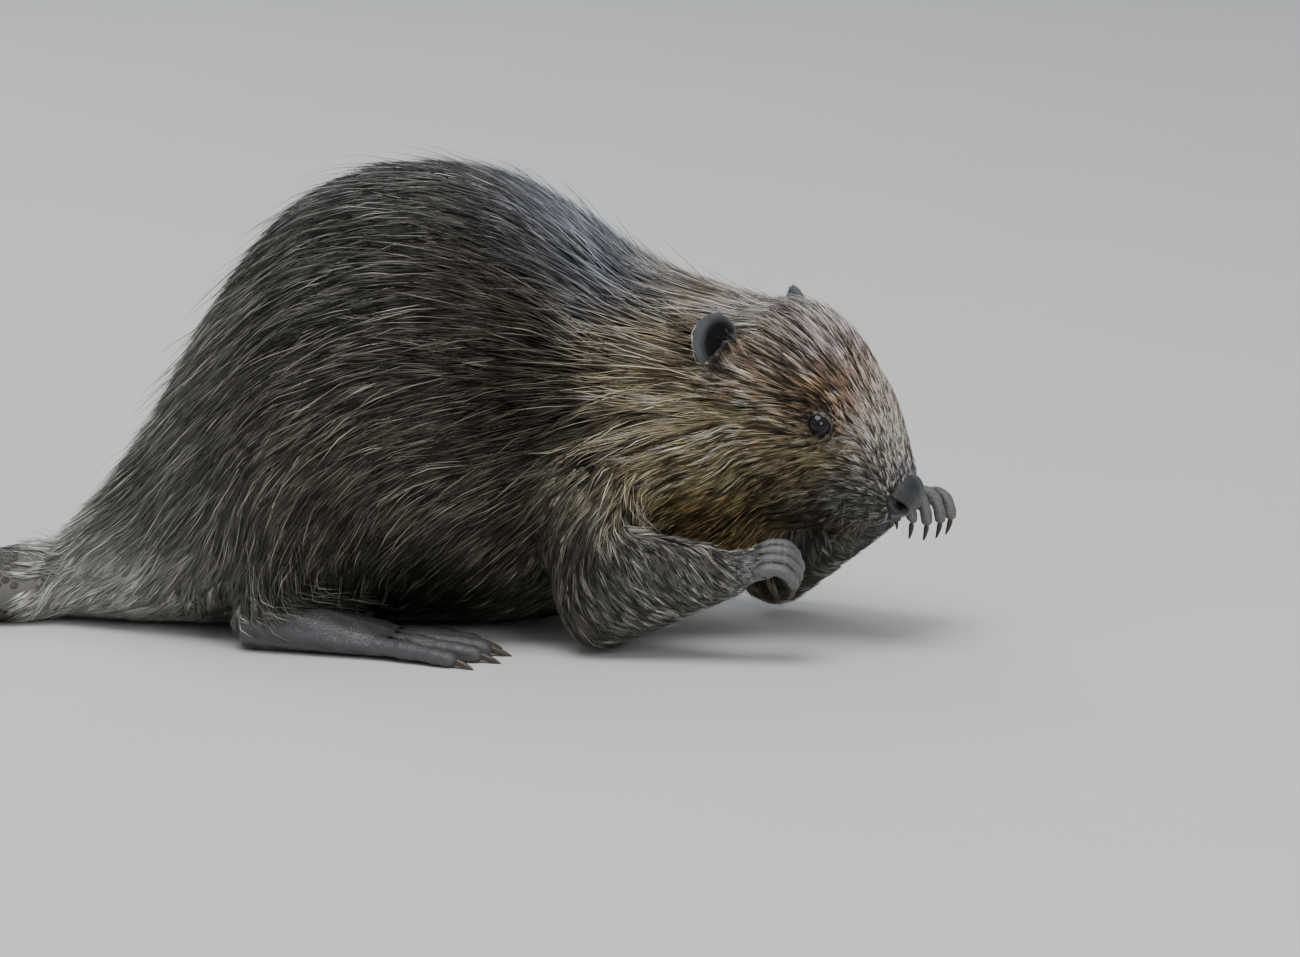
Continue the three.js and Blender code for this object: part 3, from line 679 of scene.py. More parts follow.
def toeShapes():  # five digits spread from the ball of each hind foot
    made = []
    heading = np.radians(footHeading)
    for side in sides.values():
        onward = np.array([np.cos(heading), side * np.sin(heading), 0])
        outward = np.array([-np.sin(heading), side * np.cos(heading), 0])
        ball = heel * (1, side, 1) + ballReach * onward
        for i, (turn, length, radius) in enumerate(toes):
            base = ball + outward * (i - 2) * 9.5 + np.array([0, 0, radius + 1.5])
            way = onward * np.cos(np.radians(turn)) + outward * np.sin(np.radians(turn))
            down = np.array([0, 0, -1.0])
            made.append(digitTube(base, way, down, length, -1.0, 9.0, radius, 0.82, 34.0))
    return made


earSet = {
    "back": 142.0, "out": 57.0, "above": 23.5,
    "tall": 37.0, "wide": 31.0, "thick": 4.6, "bow": 7.5,
}


def earFrame(side):  # its middle, the way to its front rim, up along it, and out of its cup
    outward = -side * headSide
    tall = unit(-0.33 * headOn + 0.22 * outward + 0.92 * headUp)
    mouth = 0.58 * headOn + 0.74 * outward + 0.2 * headUp
    mouth = unit(mouth - tall * (mouth @ tall))
    middle = inHead(earSet["back"], -side * earSet["out"], earSet["above"])
    return middle, side * np.cross(mouth, tall), tall, mouth


# an ear: an oval plate bowed back in the middle to a cup, its rim rolled a little forward
def earShapes():
    made = []
    for side in sides.values():
        middle, fore, tall, mouth = earFrame(side)
        y, x, z = ballGrid(40, 64)[2:]
        share = (y + 1) / 2
        width = earSet["wide"] / 2 * (0.78 + 0.3 * share - 0.08 * share ** 4)
        thin = earSet["thick"] / 2 * (1.15 - 0.3 * share)
        bow = earSet["bow"] * (1 - x * x) * (0.45 + 0.55 * share) * (1 - 0.25 * y ** 4)
        deep = z * thin - bow + 1.8 + 1.2 * x ** 4 * share
        grid = (x * width)[..., None] * fore + (y * earSet["tall"] / 2)[..., None] * tall
        grid = grid + deep[..., None] * mouth
        ends = [middle + tall * s * earSet["tall"] / 2 + mouth * (1.8 - 0.75 * earSet["bow"] * (s > 0))
                for s in (1, -1)]
        made.append(closedTube(middle + grid, *ends))
    return made


def inEar(points, normals, ear):  # the front face of an ear, and the hollow in it, which is painted dark as shade, each from 0 to 1
    front, hollow = np.zeros((2, len(points)))
    for side in sides.values():
        middle, fore, tall, mouth = earFrame(side)
        offset = points - middle
        forward, up = offset @ fore / earSet["wide"] * 2, offset @ tall / earSet["tall"] * 2
        here = smooth(-0.1, 0.3, normals @ mouth) * (np.abs(offset @ mouth) < 14) * smooth(0.2, 0.5, ear)
        front = np.maximum(front, here * (1 - smooth(1.0, 1.2, np.hypot(forward, up))))
        inward = np.hypot(forward - 0.25, 0.87 * up + 0.02)
        hollow = np.maximum(hollow, here * (1 - smooth(0.48, 0.88, inward)))
    return front, hollow


def earBase(points, normals):  # 1 on the low back of an ear, which the coat covers
    share = np.zeros(len(points))
    for side in sides.values():
        middle, _, tall, mouth = earFrame(side)
        offset = points - middle
        low = smooth(-0.2, -0.7, offset @ tall / earSet["tall"] * 2) * smooth(0.3, -0.2, normals @ mouth)
        share = np.maximum(share, low * (lengthOf(offset) < 26))
    return share


skinSet = {
    "swell": 0.9,  # mm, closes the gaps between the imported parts
    "voxel": 1.15,
    "triangles": 185000,
    "sunk": 0.55,  # mm of that swell that is taken off again
    "rounds": {  # of smoothing
        "body": 250, "head": 72, "ear": 7, "foreleg": 44, "forepaw": 1.5, "hindleg": 120, "hindfoot": 4,
        "tail": 50, "upperArm": 120, "wrist": 46,
    },
    "wristReach": 15.0,
    "sinkSteps": 4,
}
parts = {
    "body": ["trunk", "neck"],
    "head": ["head", "nose", "eye_right", "eye_left"],
    "ear": ["ear_right", "ear_left"],
    "foreleg": ["foreleg_right", "foreleg_left"],
    "forepaw": ["forepaw_right", "forepaw_left"],
    "hindleg": ["hindleg_right", "hindleg_left"],
    "hindfoot": ["hindfoot_right", "hindfoot_left"],
    "tail": ["tail"],
}


def edgesOf(mesh):  # the two ends of every edge
    edges = np.empty(len(mesh.edges) * 2, np.int32)
    mesh.edges.foreach_get("vertices", edges)
    return edges.reshape(-1, 2)


def relaxed(values, edges, shares):  # each round moves every value towards the mean of its neighbours
    values = values.copy()
    a, b = edges.T
    count = np.bincount(edges.ravel(), minlength=len(values)).astype(float)
    for share in shares:
        for column in values.T:
            total = np.bincount(a, column[b], len(column)) + np.bincount(b, column[a], len(column))
            column += share * (total / count - column)
    return values


def normalsOf(points, triangles):  # each point's own, from its triangles by their area
    a, b, c = points[triangles.T]
    out = np.cross(b - a, c - a)
    total = np.stack([np.bincount(triangles.ravel(), np.repeat(axis, 3), len(points)) for axis in out.T], -1)
    return unit(total)


def trianglesOf(mesh):
    mesh.calc_loop_triangles()
    corners = np.empty(len(mesh.loop_triangles) * 3, np.int32)
    mesh.loop_triangles.foreach_get("vertices", corners)
    return corners.reshape(-1, 3)


# keeps the largest connected piece: the lowest point number spreads along the edges until nothing changes
def biggestPiece(points, triangles, edges):
    label = np.arange(len(points))
    while True:
        low = np.minimum(label[edges[:, 0]], label[edges[:, 1]])
        new = label.copy()
        np.minimum.at(new, edges[:, 0], low)
        np.minimum.at(new, edges[:, 1], low)
        new = new[new]
        if (new == label).all():
            break
        label = new
    kept = label == np.bincount(label).argmax()
    number = np.cumsum(kept) - 1
    return points[kept], number[triangles[kept[triangles[:, 0]]]], number[edges[kept[edges[:, 0]]]]


def partsAt(points, edges, rounds):  # how much each vertex belongs to each part of the body, from 0 to 1
    gaps = []
    finer = {"forepaw": handShapes, "ear": earShapes}
    for name, nodes in parts.items():
        target = copyOf([], 0, finer[name]()) if name in finer else copyOf(nodes)
        gaps.append(lengthOf(nearestOn(points, target) - points))
        discard(target)
    gaps = np.array(gaps).T
    weights = np.exp(-np.clip(gaps - gaps.min(1, keepdims=True), 0, 12) / 0.8)
    weights = relaxed(weights / weights.sum(1, keepdims=True), edges, [0.5] * rounds)
    return dict(zip(parts, weights.T))


# the flesh nodes fused by voxels, smoothed by part, sunk by the coat's depth, given a face, then thinned
def makeSkin():
    solid = [node for name, nodes in parts.items() for node in nodes if name not in ("ear", "forepaw")]
    rough = copyOf(solid, skinSet["swell"], handShapes() + toeShapes() + earShapes())
    fuse = rough.modifiers.new("fuse", "REMESH")
    fuse.mode = "VOXEL"
    fuse.voxel_size = skinSet["voxel"] / 1000
    mesh = finishedMesh(rough)
    discard(rough)
    points, triangles, edges = biggestPiece(pointsOf(mesh), trianglesOf(mesh), edgesOf(mesh))
    bpy.data.meshes.remove(mesh)
    print("skin fused:", len(points), "points")

    part = partsAt(points, edges, 10)
    most = skinSet["rounds"]
    rounds = sum(part[name] * most[name] for name in parts)
    rounds = rounds + most["upperArm"] * part["foreleg"] * (1 - armNear(points))
    for name in sides:
        wrist, onward = handFrame(name)[:2]
        gap = lengthOf(points - wrist + 5 * onward) / skinSet["wristReach"]
        rounds = rounds + most["wrist"] * np.exp(-gap ** 4)
    points = relaxed(points, edges, [0.5 * np.clip(rounds - i, 0, 1) for i in range(max(most.values()))])
    print("skin smoothed")

    part = dict(zip(part, relaxed(np.array(list(part.values())).T, edges, [0.5] * 25).T))
    swell = skinSet["sunk"] * (1 - part["forepaw"] - part["hindfoot"] - part["ear"])
    steps = skinSet["sinkSteps"]
    for step in range(steps):
        normals = unit(relaxed(normalsOf(points, triangles), edges, [0.5] * 4))
        points = points - normals * ((swell + coatDepth(points, part)) / steps)[:, None]
    gentle = 0.5 * (part["body"] + part["hindleg"])
    points = relaxed(points, edges, [gentle] * 12)
    points = sculptFace(points, normalsOf(points, triangles))
    print("skin sunk under the coat")

    skin, points, triangles, edges = thinned(points, triangles, part)
    print("skin thinned:", len(triangles), "triangles")
    part = partsAt(points, edges, 14)
    normals = unit(relaxed(normalsOf(points, triangles), edges, [0.5] * 6))
    part["ear"] = part["ear"] * (1 - earBase(points, normals))
    colourSkin(skin, points, edges, normals, part)
    skin.data.materials.append(skinPaint())
    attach(skin, "root")
    flesh = [node for nodes in parts.values() for node in nodes if not node.startswith(("eye", "nose"))]
    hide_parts(*flesh)
    return {"points": points, "triangles": triangles, "edges": edges, "normals": normals, "part": part}


def thinned(points, triangles, part):  # the skin's object, finest at the head, the ears and the hands
    skin = objectFrom("beaverSkin", points, [triangles])
    fine = np.maximum.reduce([part["head"], part["forepaw"], part["ear"], 0.8 * part["hindfoot"]])
    near = skin.vertex_groups.new(name="coarse")
    for level in range(1, 9):
        chosen = np.flatnonzero(np.round(8 * (1 - fine)) == level)
        near.add(chosen.tolist(), level / 8, "REPLACE")
    thin = skin.modifiers.new("thin", "DECIMATE")
    thin.ratio = skinSet["triangles"] / len(triangles)
    thin.vertex_group = "coarse"
    thin.vertex_group_factor = 3.0
    mesh = finishedMesh(skin)
    discard(skin)
    points, triangles, edges = pointsOf(mesh), trianglesOf(mesh), edgesOf(mesh)
    bpy.data.meshes.remove(mesh)
    points[:, 2] = np.maximum(points[:, 2], footFlat)
    return objectFrom("beaverSkin", points, [triangles]), points, triangles, edges


def colourSkin(skin, points, edges, normals, part):  # the coat's tones under it, drawn towards its gap colour; slate where it is bare; painted shade and light as noted below
    ground, _, gap = coatTones(points, part)
    scaled = part["tail"] * smooth(scaleSet["start"] + 16, scaleSet["start"], points[:, 0])
    bare = np.maximum.reduce([part["forepaw"], part["hindfoot"], scaled])
    bareTone = np.where((part["forepaw"] > part["hindfoot"])[:, None], pawSlate, slate)
    bareTone = mix(bareTone, tailTone, part["tail"][:, None])
    # painted light and shade on the bare skin: lighter on knuckles and other bulges, darker in creases and
    # hollows
    hollow = ((relaxed(points, edges, [0.5] * 5) - points) * normals).sum(1)
    bareTone = bareTone * (1.25 - 1.2 * np.clip(hollow / 0.30, -0.4, 1))[:, None]
    # the skin under the coat, most of the way to the gap colour: partly the darker underfur, partly painted
    # shade between the locks
    under = mix(ground, gap, 0.65)
    under = mix(under, linear(*earTone[0]), part["ear"][:, None])
    # painted shade: the ear's cup painted near black towards its middle
    cup = inEar(points, normals, part["ear"])[1]
    under = mix(under, earCupShade, cup[:, None])
    colourVerts(skin, "skinColour", np.maximum(mix(under, bareTone, bare[:, None]), 0.002))
    markVerts(skin, "bareSkin", bare)
    markVerts(skin, "earCup", cup)


eyeSet = {
    "place": (67.0, 37.0, 13.0),  # back, right, above
    "radius": 7.9,
    "axis": (0.40, 0.90, 0.12),  # onwards, outwards, upwards
    "openWide": 61.0,  # degrees from the eye's axis to the lids' corners
    "openHigh": 53.0,
    "tilt": 18.0,  # degrees, the inner corner lower
    "pupil": (4, 4, 5), "iris": (27, 23, 21), "white": (13, 12, 12),  # screen colours
}


def eyeFrame(side):  # its middle, where it looks, and the long and short ways of its opening
    back, right, above = eyeSet["place"]
    centre = inHead(back, -side * right, above)
    outward = -side * headSide
    axis = unit(eyeSet["axis"][0] * headOn + eyeSet["axis"][1] * outward + eyeSet["axis"][2] * headUp)
    tilt = np.radians(eyeSet["tilt"])
    level = unit(headOn - axis * (headOn @ axis))
    high = np.cross(axis, level) * (1 if np.cross(axis, level) @ headUp > 0 else -1)
    wide = level * np.cos(tilt) - high * np.sin(tilt)
    return centre, axis, wide, unit(high * np.cos(tilt) + level * np.sin(tilt))


def lidAngle(around):  # the opening, an oval whose ends are drawn out a little
    wide, high = np.radians([eyeSet["openWide"], eyeSet["openHigh"]])
    return 1 / np.hypot(np.cos(around) / wide, np.sin(around) / high) * (1 + 0.05 * np.cos(2 * around))


noseSet = {
    "centre": (11.8, 0.0, -6.8),
    "radii": (11.8, 17.0, 13.8),  # onwards, sideways, upwards
    "nostril": (0.76, -0.16),  # sideways and upwards on the pad, as shares of its radii
}


# skin drawn in round the nose pad, over the eyeballs to the lids, and into the mouth line and lip split
def sculptFace(points, normals):
    offset = points - inHead(*noseSet["centre"])
    spot = np.stack([offset @ headOn, offset @ headSide, offset @ headUp], -1) / noseSet["radii"]
    reach = lengthOf(spot)
    drawn = reach - 0.16 * (1 - smooth(0.95, 1.5, reach)) * smooth(-0.7, -0.1, spot[:, 0])
    points = inHead(*noseSet["centre"]) + offset * (drawn / reach)[:, None]
    for side in sides.values():
        centre, axis, wide, high = eyeFrame(side)
        offset = points - centre
        reach = lengthOf(offset)
        way = offset / reach[:, None]
        angle = np.arccos(np.clip(way @ axis, -1, 1))
        around = np.arctan2(way @ high, way @ wide)
        edge = lidAngle(around)
        radius = eyeSet["radius"]
        lidded = mix(radius + 0.75, reach, smooth(edge + 0.1, edge + 0.75, angle))
        target = np.where(angle < edge, radius - 1.6, lidded)
        near = (reach < 22) & (angle < 1.6)
        points = np.where(near[:, None], centre + way * target[:, None], points)
    back, right, above = headPlace(points)
    line = -33 - 0.12 * (back - 12)  # the mouth's level
    mouth = np.exp(-((above - line) / 2.2) ** 2) * smooth(4, 10, back) * (1 - smooth(34, 42, back))
    mouth = mouth * (np.abs(right) < 40)
    split = np.exp(-(right / 1.6) ** 2) * smooth(-34, -28, above) * (1 - smooth(-20, -15, above))
    split = split * (back < 22)
    return points - normals * (2.6 * mouth + 2.0 * split)[:, None]


# an eyeball is a sphere whose clear front stands a little proud
def makeEyes():
    wet, lidded = eyePaint(), lidPaint()
    for name, side in sides.items():
        centre, axis, wide, high = eyeFrame(side)
        angle = np.linspace(0, np.pi, 42)[1:-1, None]
        around = circle(48)[None]
        cornea = 0.5 * (1 - smooth(0.0, 0.9, angle))
        reach = eyeSet["radius"] + cornea
        out = np.cos(angle)[..., None] * axis
        rim = np.sin(angle)[..., None] * (np.cos(around)[..., None] * wide + np.sin(around)[..., None] * high)
        rings = centre + reach[..., None] * (out + rim)
        radius = eyeSet["radius"]
        points, faces = closedTube(rings, centre + axis * (radius + 0.5), centre - axis * radius)
        eye = outwards(objectFrom("eyeball_" + name, points, faces))
        where = pointsOf(eye.data) - centre
        turn = np.arccos(np.clip(unit(where) @ axis, -1, 1))
        pupil, iris, white = (linear(*eyeSet[ring]) for ring in ("pupil", "iris", "white"))
        colour = mix(pupil, iris, smooth(0.36, 0.44, turn)[:, None])
        colour = mix(colour, white, smooth(0.72, 0.86, turn)[:, None])
        colourVerts(eye, "eyeColour", colour)
        eye.data.materials.append(wet)
        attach(eye, "root")
        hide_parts("eye_" + name)
        makeLids(name, lidded, centre, axis, wide, high)


# the lids: a rounded band carried round the opening, thicker above than below
def makeLids(name, paint, centre, axis, wide, high):
    count = 72
    around = circle(count)
    edge = lidAngle(around)
    turn = circle(10)
    thick = 0.65 + 0.35 * smooth(-0.2, 0.8, np.sin(around))
    spread = edge[:, None] + (0.12 + 0.16 * np.cos(turn)[None] * thick[:, None])
    reach = eyeSet["radius"] + 0.35 + 0.55 * np.sin(turn)[None] * thick[:, None]
    rim = np.cos(around)[:, None, None] * wide + np.sin(around)[:, None, None] * high
    rings = centre + reach[..., None] * (np.cos(spread)[..., None] * axis + np.sin(spread)[..., None] * rim)
    i = np.arange(count)[:, None] * len(turn)
    j = np.arange(len(turn))[None]
    n = (i + len(turn)) % (count * len(turn))
    k = (j + 1) % len(turn)
    quads = np.stack([i + j, i + k, n + k, n + j], -1).reshape(-1, 4)
    lids = outwards(objectFrom("eyelids_" + name, rings.reshape(-1, 3), [quads]))
    lids.data.materials.append(paint)
    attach(lids, "root")


# the nose pad: a squared oval with a comma-shaped nostril on each side and a groove down the middle
def makeNose():
    down, around, x, y, z = ballGrid(74, 112)
    placeY, placeZ = noseSet["nostril"]
    ny = (np.abs(y) - placeY) / 0.22
    nz = (z - placeZ - 0.5 * (np.abs(y) - placeY)) / 0.17
    hole = np.exp(-(ny ** 2 + nz ** 2) ** 1.3) * smooth(-0.3, 0.15, x)
    rim = np.exp(-((np.hypot(ny, nz) - 1.7) / 0.55) ** 2) * smooth(-0.3, 0.15, x) * (z > placeZ - 0.25)
    groove = np.exp(-(y / 0.06) ** 2) * (z < 0.15) * smooth(0.0, 0.5, x)
    swell = 1 - 0.50 * hole + 0.05 * rim - 0.07 * groove + 0.02 * np.cos(9 * around) * np.sin(down) ** 2
    rx, ry, rz = noseSet["radii"]
    grid = np.stack([x * rx, y * ry, z * rz], -1) * swell[..., None]
    centre = inHead(*noseSet["centre"])
    rings = centre + grid[..., :1] * headOn + grid[..., 1:2] * headSide + grid[..., 2:] * headUp
    points, faces = closedTube(rings, centre + headOn * rx, centre - headOn * rx)
    nose = objectFrom("nosePad", points, faces)
    # the nostrils' dents, which the leather paint darkens nearly to black as painted shade
    markVerts(nose, "nostril", np.concatenate([np.clip(hole * 1.5, 0, 1).ravel(), [0, 0]]))
    outwards(nose)
    nose.data.materials.append(nosePaint())
    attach(nose, "root")
    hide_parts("nose")


def makeClaws():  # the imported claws, rounded
    paint = hornPaint()
    for limb in bareLimbs:
        for name in sides:
            nodes = [f"{limb}_{name}_claw_{i}" for i in range(1, 6)]
            rough = copyOf(nodes)
            rounder = rough.modifiers.new("rounder", "SUBSURF")
            rounder.levels = rounder.render_levels = 2
            mesh = finishedMesh(rough)
            discard(rough)
            claws = bpy.data.objects.new(f"{limb}Claws_{name}", mesh)
            bpy.context.scene.collection.objects.link(claws)
            mesh.polygons.foreach_set("use_smooth", np.ones(len(mesh.polygons), bool))
            mesh.materials.clear()
            mesh.materials.append(paint)
            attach(claws, "root")
            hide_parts(*nodes)


scaleSet = {"long": 5.6, "wide": 4.6, "rise": 0.55, "start": -284.0}  # mm; they start at that x


# tail scales: rows of flat six-sided plates, each tipped up a little at its rear edge
def makeScales(tree):
    step, wide = scaleSet["long"] * 0.86, scaleSet["wide"]
    rows = np.arange(-290, tailTipX + 3, -step)
    columns = np.arange(-15, 16)
    x, j = np.meshgrid(rows, columns, indexing="ij")
    odd = (np.arange(len(rows)) % 2)[:, None]
    y = (j + 0.5 * odd) * wide
    x, y = x.ravel(), y.ravel()
    middleLine = 1 - 14 * np.clip((scaleSet["start"] - x) / (scaleSet["start"] - tailTipX), 0, 1) ** 2
    rng = np.random.default_rng(5)
    points, faces, colours = [], [], []
    count = 0
    for face in (1, -1):
        startX = x + rng.normal(0, 0.25, x.size)
        startY = y + middleLine + rng.normal(0, 0.2, x.size)
        start = np.stack([startX, startY, np.full(x.size, 60.0 * face + 8)], -1)
        hits = [tree.ray_cast(p, (0, 0, -face)) for p in start.tolist()]
        place = np.array([h[0] for h in hits if h[0] is not None])
        out = np.array([h[1] for h in hits if h[0] is not None])
        flat = (out[:, 2] * face > 0.45) & (place[:, 0] < scaleSet["start"])
        place, out = place[flat], unit(out[flat])
        if face < 0:
            low = place[:, 2] > footFlat + 0.6
            place, out = place[low], out[low]
        n = len(place)
        along = unit(np.array([-1.0, 0, 0]) - out * (-out[:, :1]))
        side = np.cross(out, along)
        size = rng.uniform(0.86, 1.08, (n, 1))
        turn = np.radians([0, 60, 120, 180, 240, 300])
        corner = np.stack([np.cos(turn), np.sin(turn)], -1)
        top = []
        for c, s in corner:
            lift = scaleSet["rise"] * (0.35 + 0.65 * (c > 0.3))
            reach = along * c * scaleSet["long"] * 0.52 + side * s * wide * 0.56
            top.append(place + size * reach + out * lift)
        rim = np.stack(top, 1)
        crown = (place + out * scaleSet["rise"] * 1.35)[:, None]
        low = rim - (out * (scaleSet["rise"] + 0.9))[:, None]
        block = np.concatenate([crown, rim, low], 1)  # 13 points a scale
        points.append(block.reshape(-1, 3))
        base = count + np.arange(n)[:, None] * 13
        i = np.arange(6)
        k = (i + 1) % 6
        fan = np.stack([np.broadcast_to(base, (n, 6)), base + 1 + i, base + 1 + k], -1).reshape(-1, 3)
        skirt = np.stack([base + 1 + i, base + 7 + i, base + 7 + k, base + 1 + k], -1).reshape(-1, 4)
        floor = (base + 7 + np.arange(5, -1, -1)).reshape(-1, 6)
        faces.append((fan, skirt, floor))
        tone = tailTone * rng.uniform(0.6, 1.35, (n, 1)) * (1 + 0.25 * ripple(place, 60, 3)[:, None])
        # painted light and shade: each scale's raised crown is painted 1.25 times lighter, its low skirt
        # between the scales 0.35 times darker
        shade = np.array([1.25] + [1.0] * 6 + [0.35] * 6)
        colours.append((tone[:, None] * shade[:, None]).reshape(-1, 3))
        count += n * 13
    joined = [np.vstack([f[i] for f in faces]) for i in range(3)]
    points = np.vstack(points)
    points[:, 2] = np.maximum(points[:, 2], footFlat)
    scales = objectFrom("tailScales", points, joined)
    scales.data.polygons.foreach_set("use_smooth", np.zeros(len(scales.data.polygons), bool))
    colourVerts(scales, "scaleColour", np.vstack(colours))
    scales.data.materials.append(scalePaint())
    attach(scales, "root")
    print("tail scales:", count // 13)


# a strand is a slim three-cornered lock: rings of three corners along its line, a pointed tip, a closed root
def strandMesh(lines, out, widths, taper):
    n, k = lines.shape[:2]
    run = unit(np.gradient(lines, axis=1))
    side = unit(np.cross(run, out))
    top = np.cross(side, run)
    rings = k - 1
    turn = np.radians([90, 210, 330])
    corner = np.cos(turn)[:, None] * side[:, :rings, None]
    corner = corner + 0.7 * np.sin(turn)[:, None] * top[:, :rings, None]
    body = lines[:, :rings, None] + corner * (widths[:, None] * taper[:rings] / 2)[..., None, None]
    points = np.concatenate([body.reshape(n, rings * 3, 3), lines[:, -1:]], 1)
    size = rings * 3 + 1
    base = (np.arange(n) * size)[:, None]
    i = np.arange(rings - 1)[:, None] * 3
    j = np.arange(3)[None]
    m = (j + 1) % 3
    quad = np.stack([i + j, i + 3 + j, i + 3 + m, i + m], -1).reshape(-1, 4)
    last = (rings - 1) * 3
    end = size - 1
    tri = np.array([[last, end, last + 1], [last + 1, end, last + 2], [last + 2, end, last], [0, 1, 2]])
    quads = (base[..., None] + quad[None]).reshape(-1, 4)
    tris = (base[..., None] + tri[None]).reshape(-1, 3)
    return points.reshape(-1, 3), [quads, tris], size


# evenly scattered roots: one in each cell of a fine grid that the skin passes through
def facesAt(skin, weight, spacing, rng):
    points, triangles = skin["points"], skin["triangles"]
    a, b, c = points[triangles.T]
    area = lengthOf(np.cross(b - a, c - a)) / 2 * weight[triangles].mean(1)
    tries = int(3.2 * area.sum() / spacing ** 2)
    chosen = rng.choice(len(triangles), tries, p=area / area.sum())
    u, v = rng.random((2, tries))
    flip = u + v > 1
    u[flip], v[flip] = 1 - u[flip], 1 - v[flip]
    share = np.stack([1 - u - v, u, v], -1)
    place = (points[triangles[chosen]] * share[..., None]).sum(1)
    cell = np.floor(place / spacing).astype(np.int64) @ np.array([1, 100003, 10000019])
    first = np.unique(cell, return_index=True)[1]
    rng.shuffle(first)
    return chosen[first], share[first], place[first]


def atRoots(skin, values, chosen, share):  # the skin's values at the roots, between the corners of a face
    picked = values[skin["triangles"][chosen]]
    if picked.ndim == 2:
        return (picked * share).sum(1)
    return (picked * share[..., None]).sum(1)


def addBakeMap(made, size, centre, spread, corners):  # a small patch for each strand at its root's place
    layer = made.data.uv_layers.new(name="OFBake")
    vertex = np.empty(len(made.data.loops), np.int32)
    made.data.loops.foreach_get("vertex_index", vertex)
    patch = spread * (corners[vertex % size] - 0.5)
    uv = centre[vertex // size] + patch
    layer.data.foreach_set("uv", uv.astype(np.float32).ravel())


# the unwrap of the skin: how far along the spine, head or arm, and the angle round it
def unwrapped(points, axisStart, axisEnd, up):
    axis = unit(axisEnd - axisStart)
    length = np.linalg.norm(axisEnd - axisStart)
    offset = points - axisStart
    side = unit(np.cross(axis, up))
    top = np.cross(side, axis)
    angle = np.arctan2(offset @ side, offset @ top) / (2 * np.pi) + 0.5
    return np.stack([np.clip((offset @ axis) / length, 0, 1) * 0.98 + 0.01, angle * 0.98 + 0.01], -1)


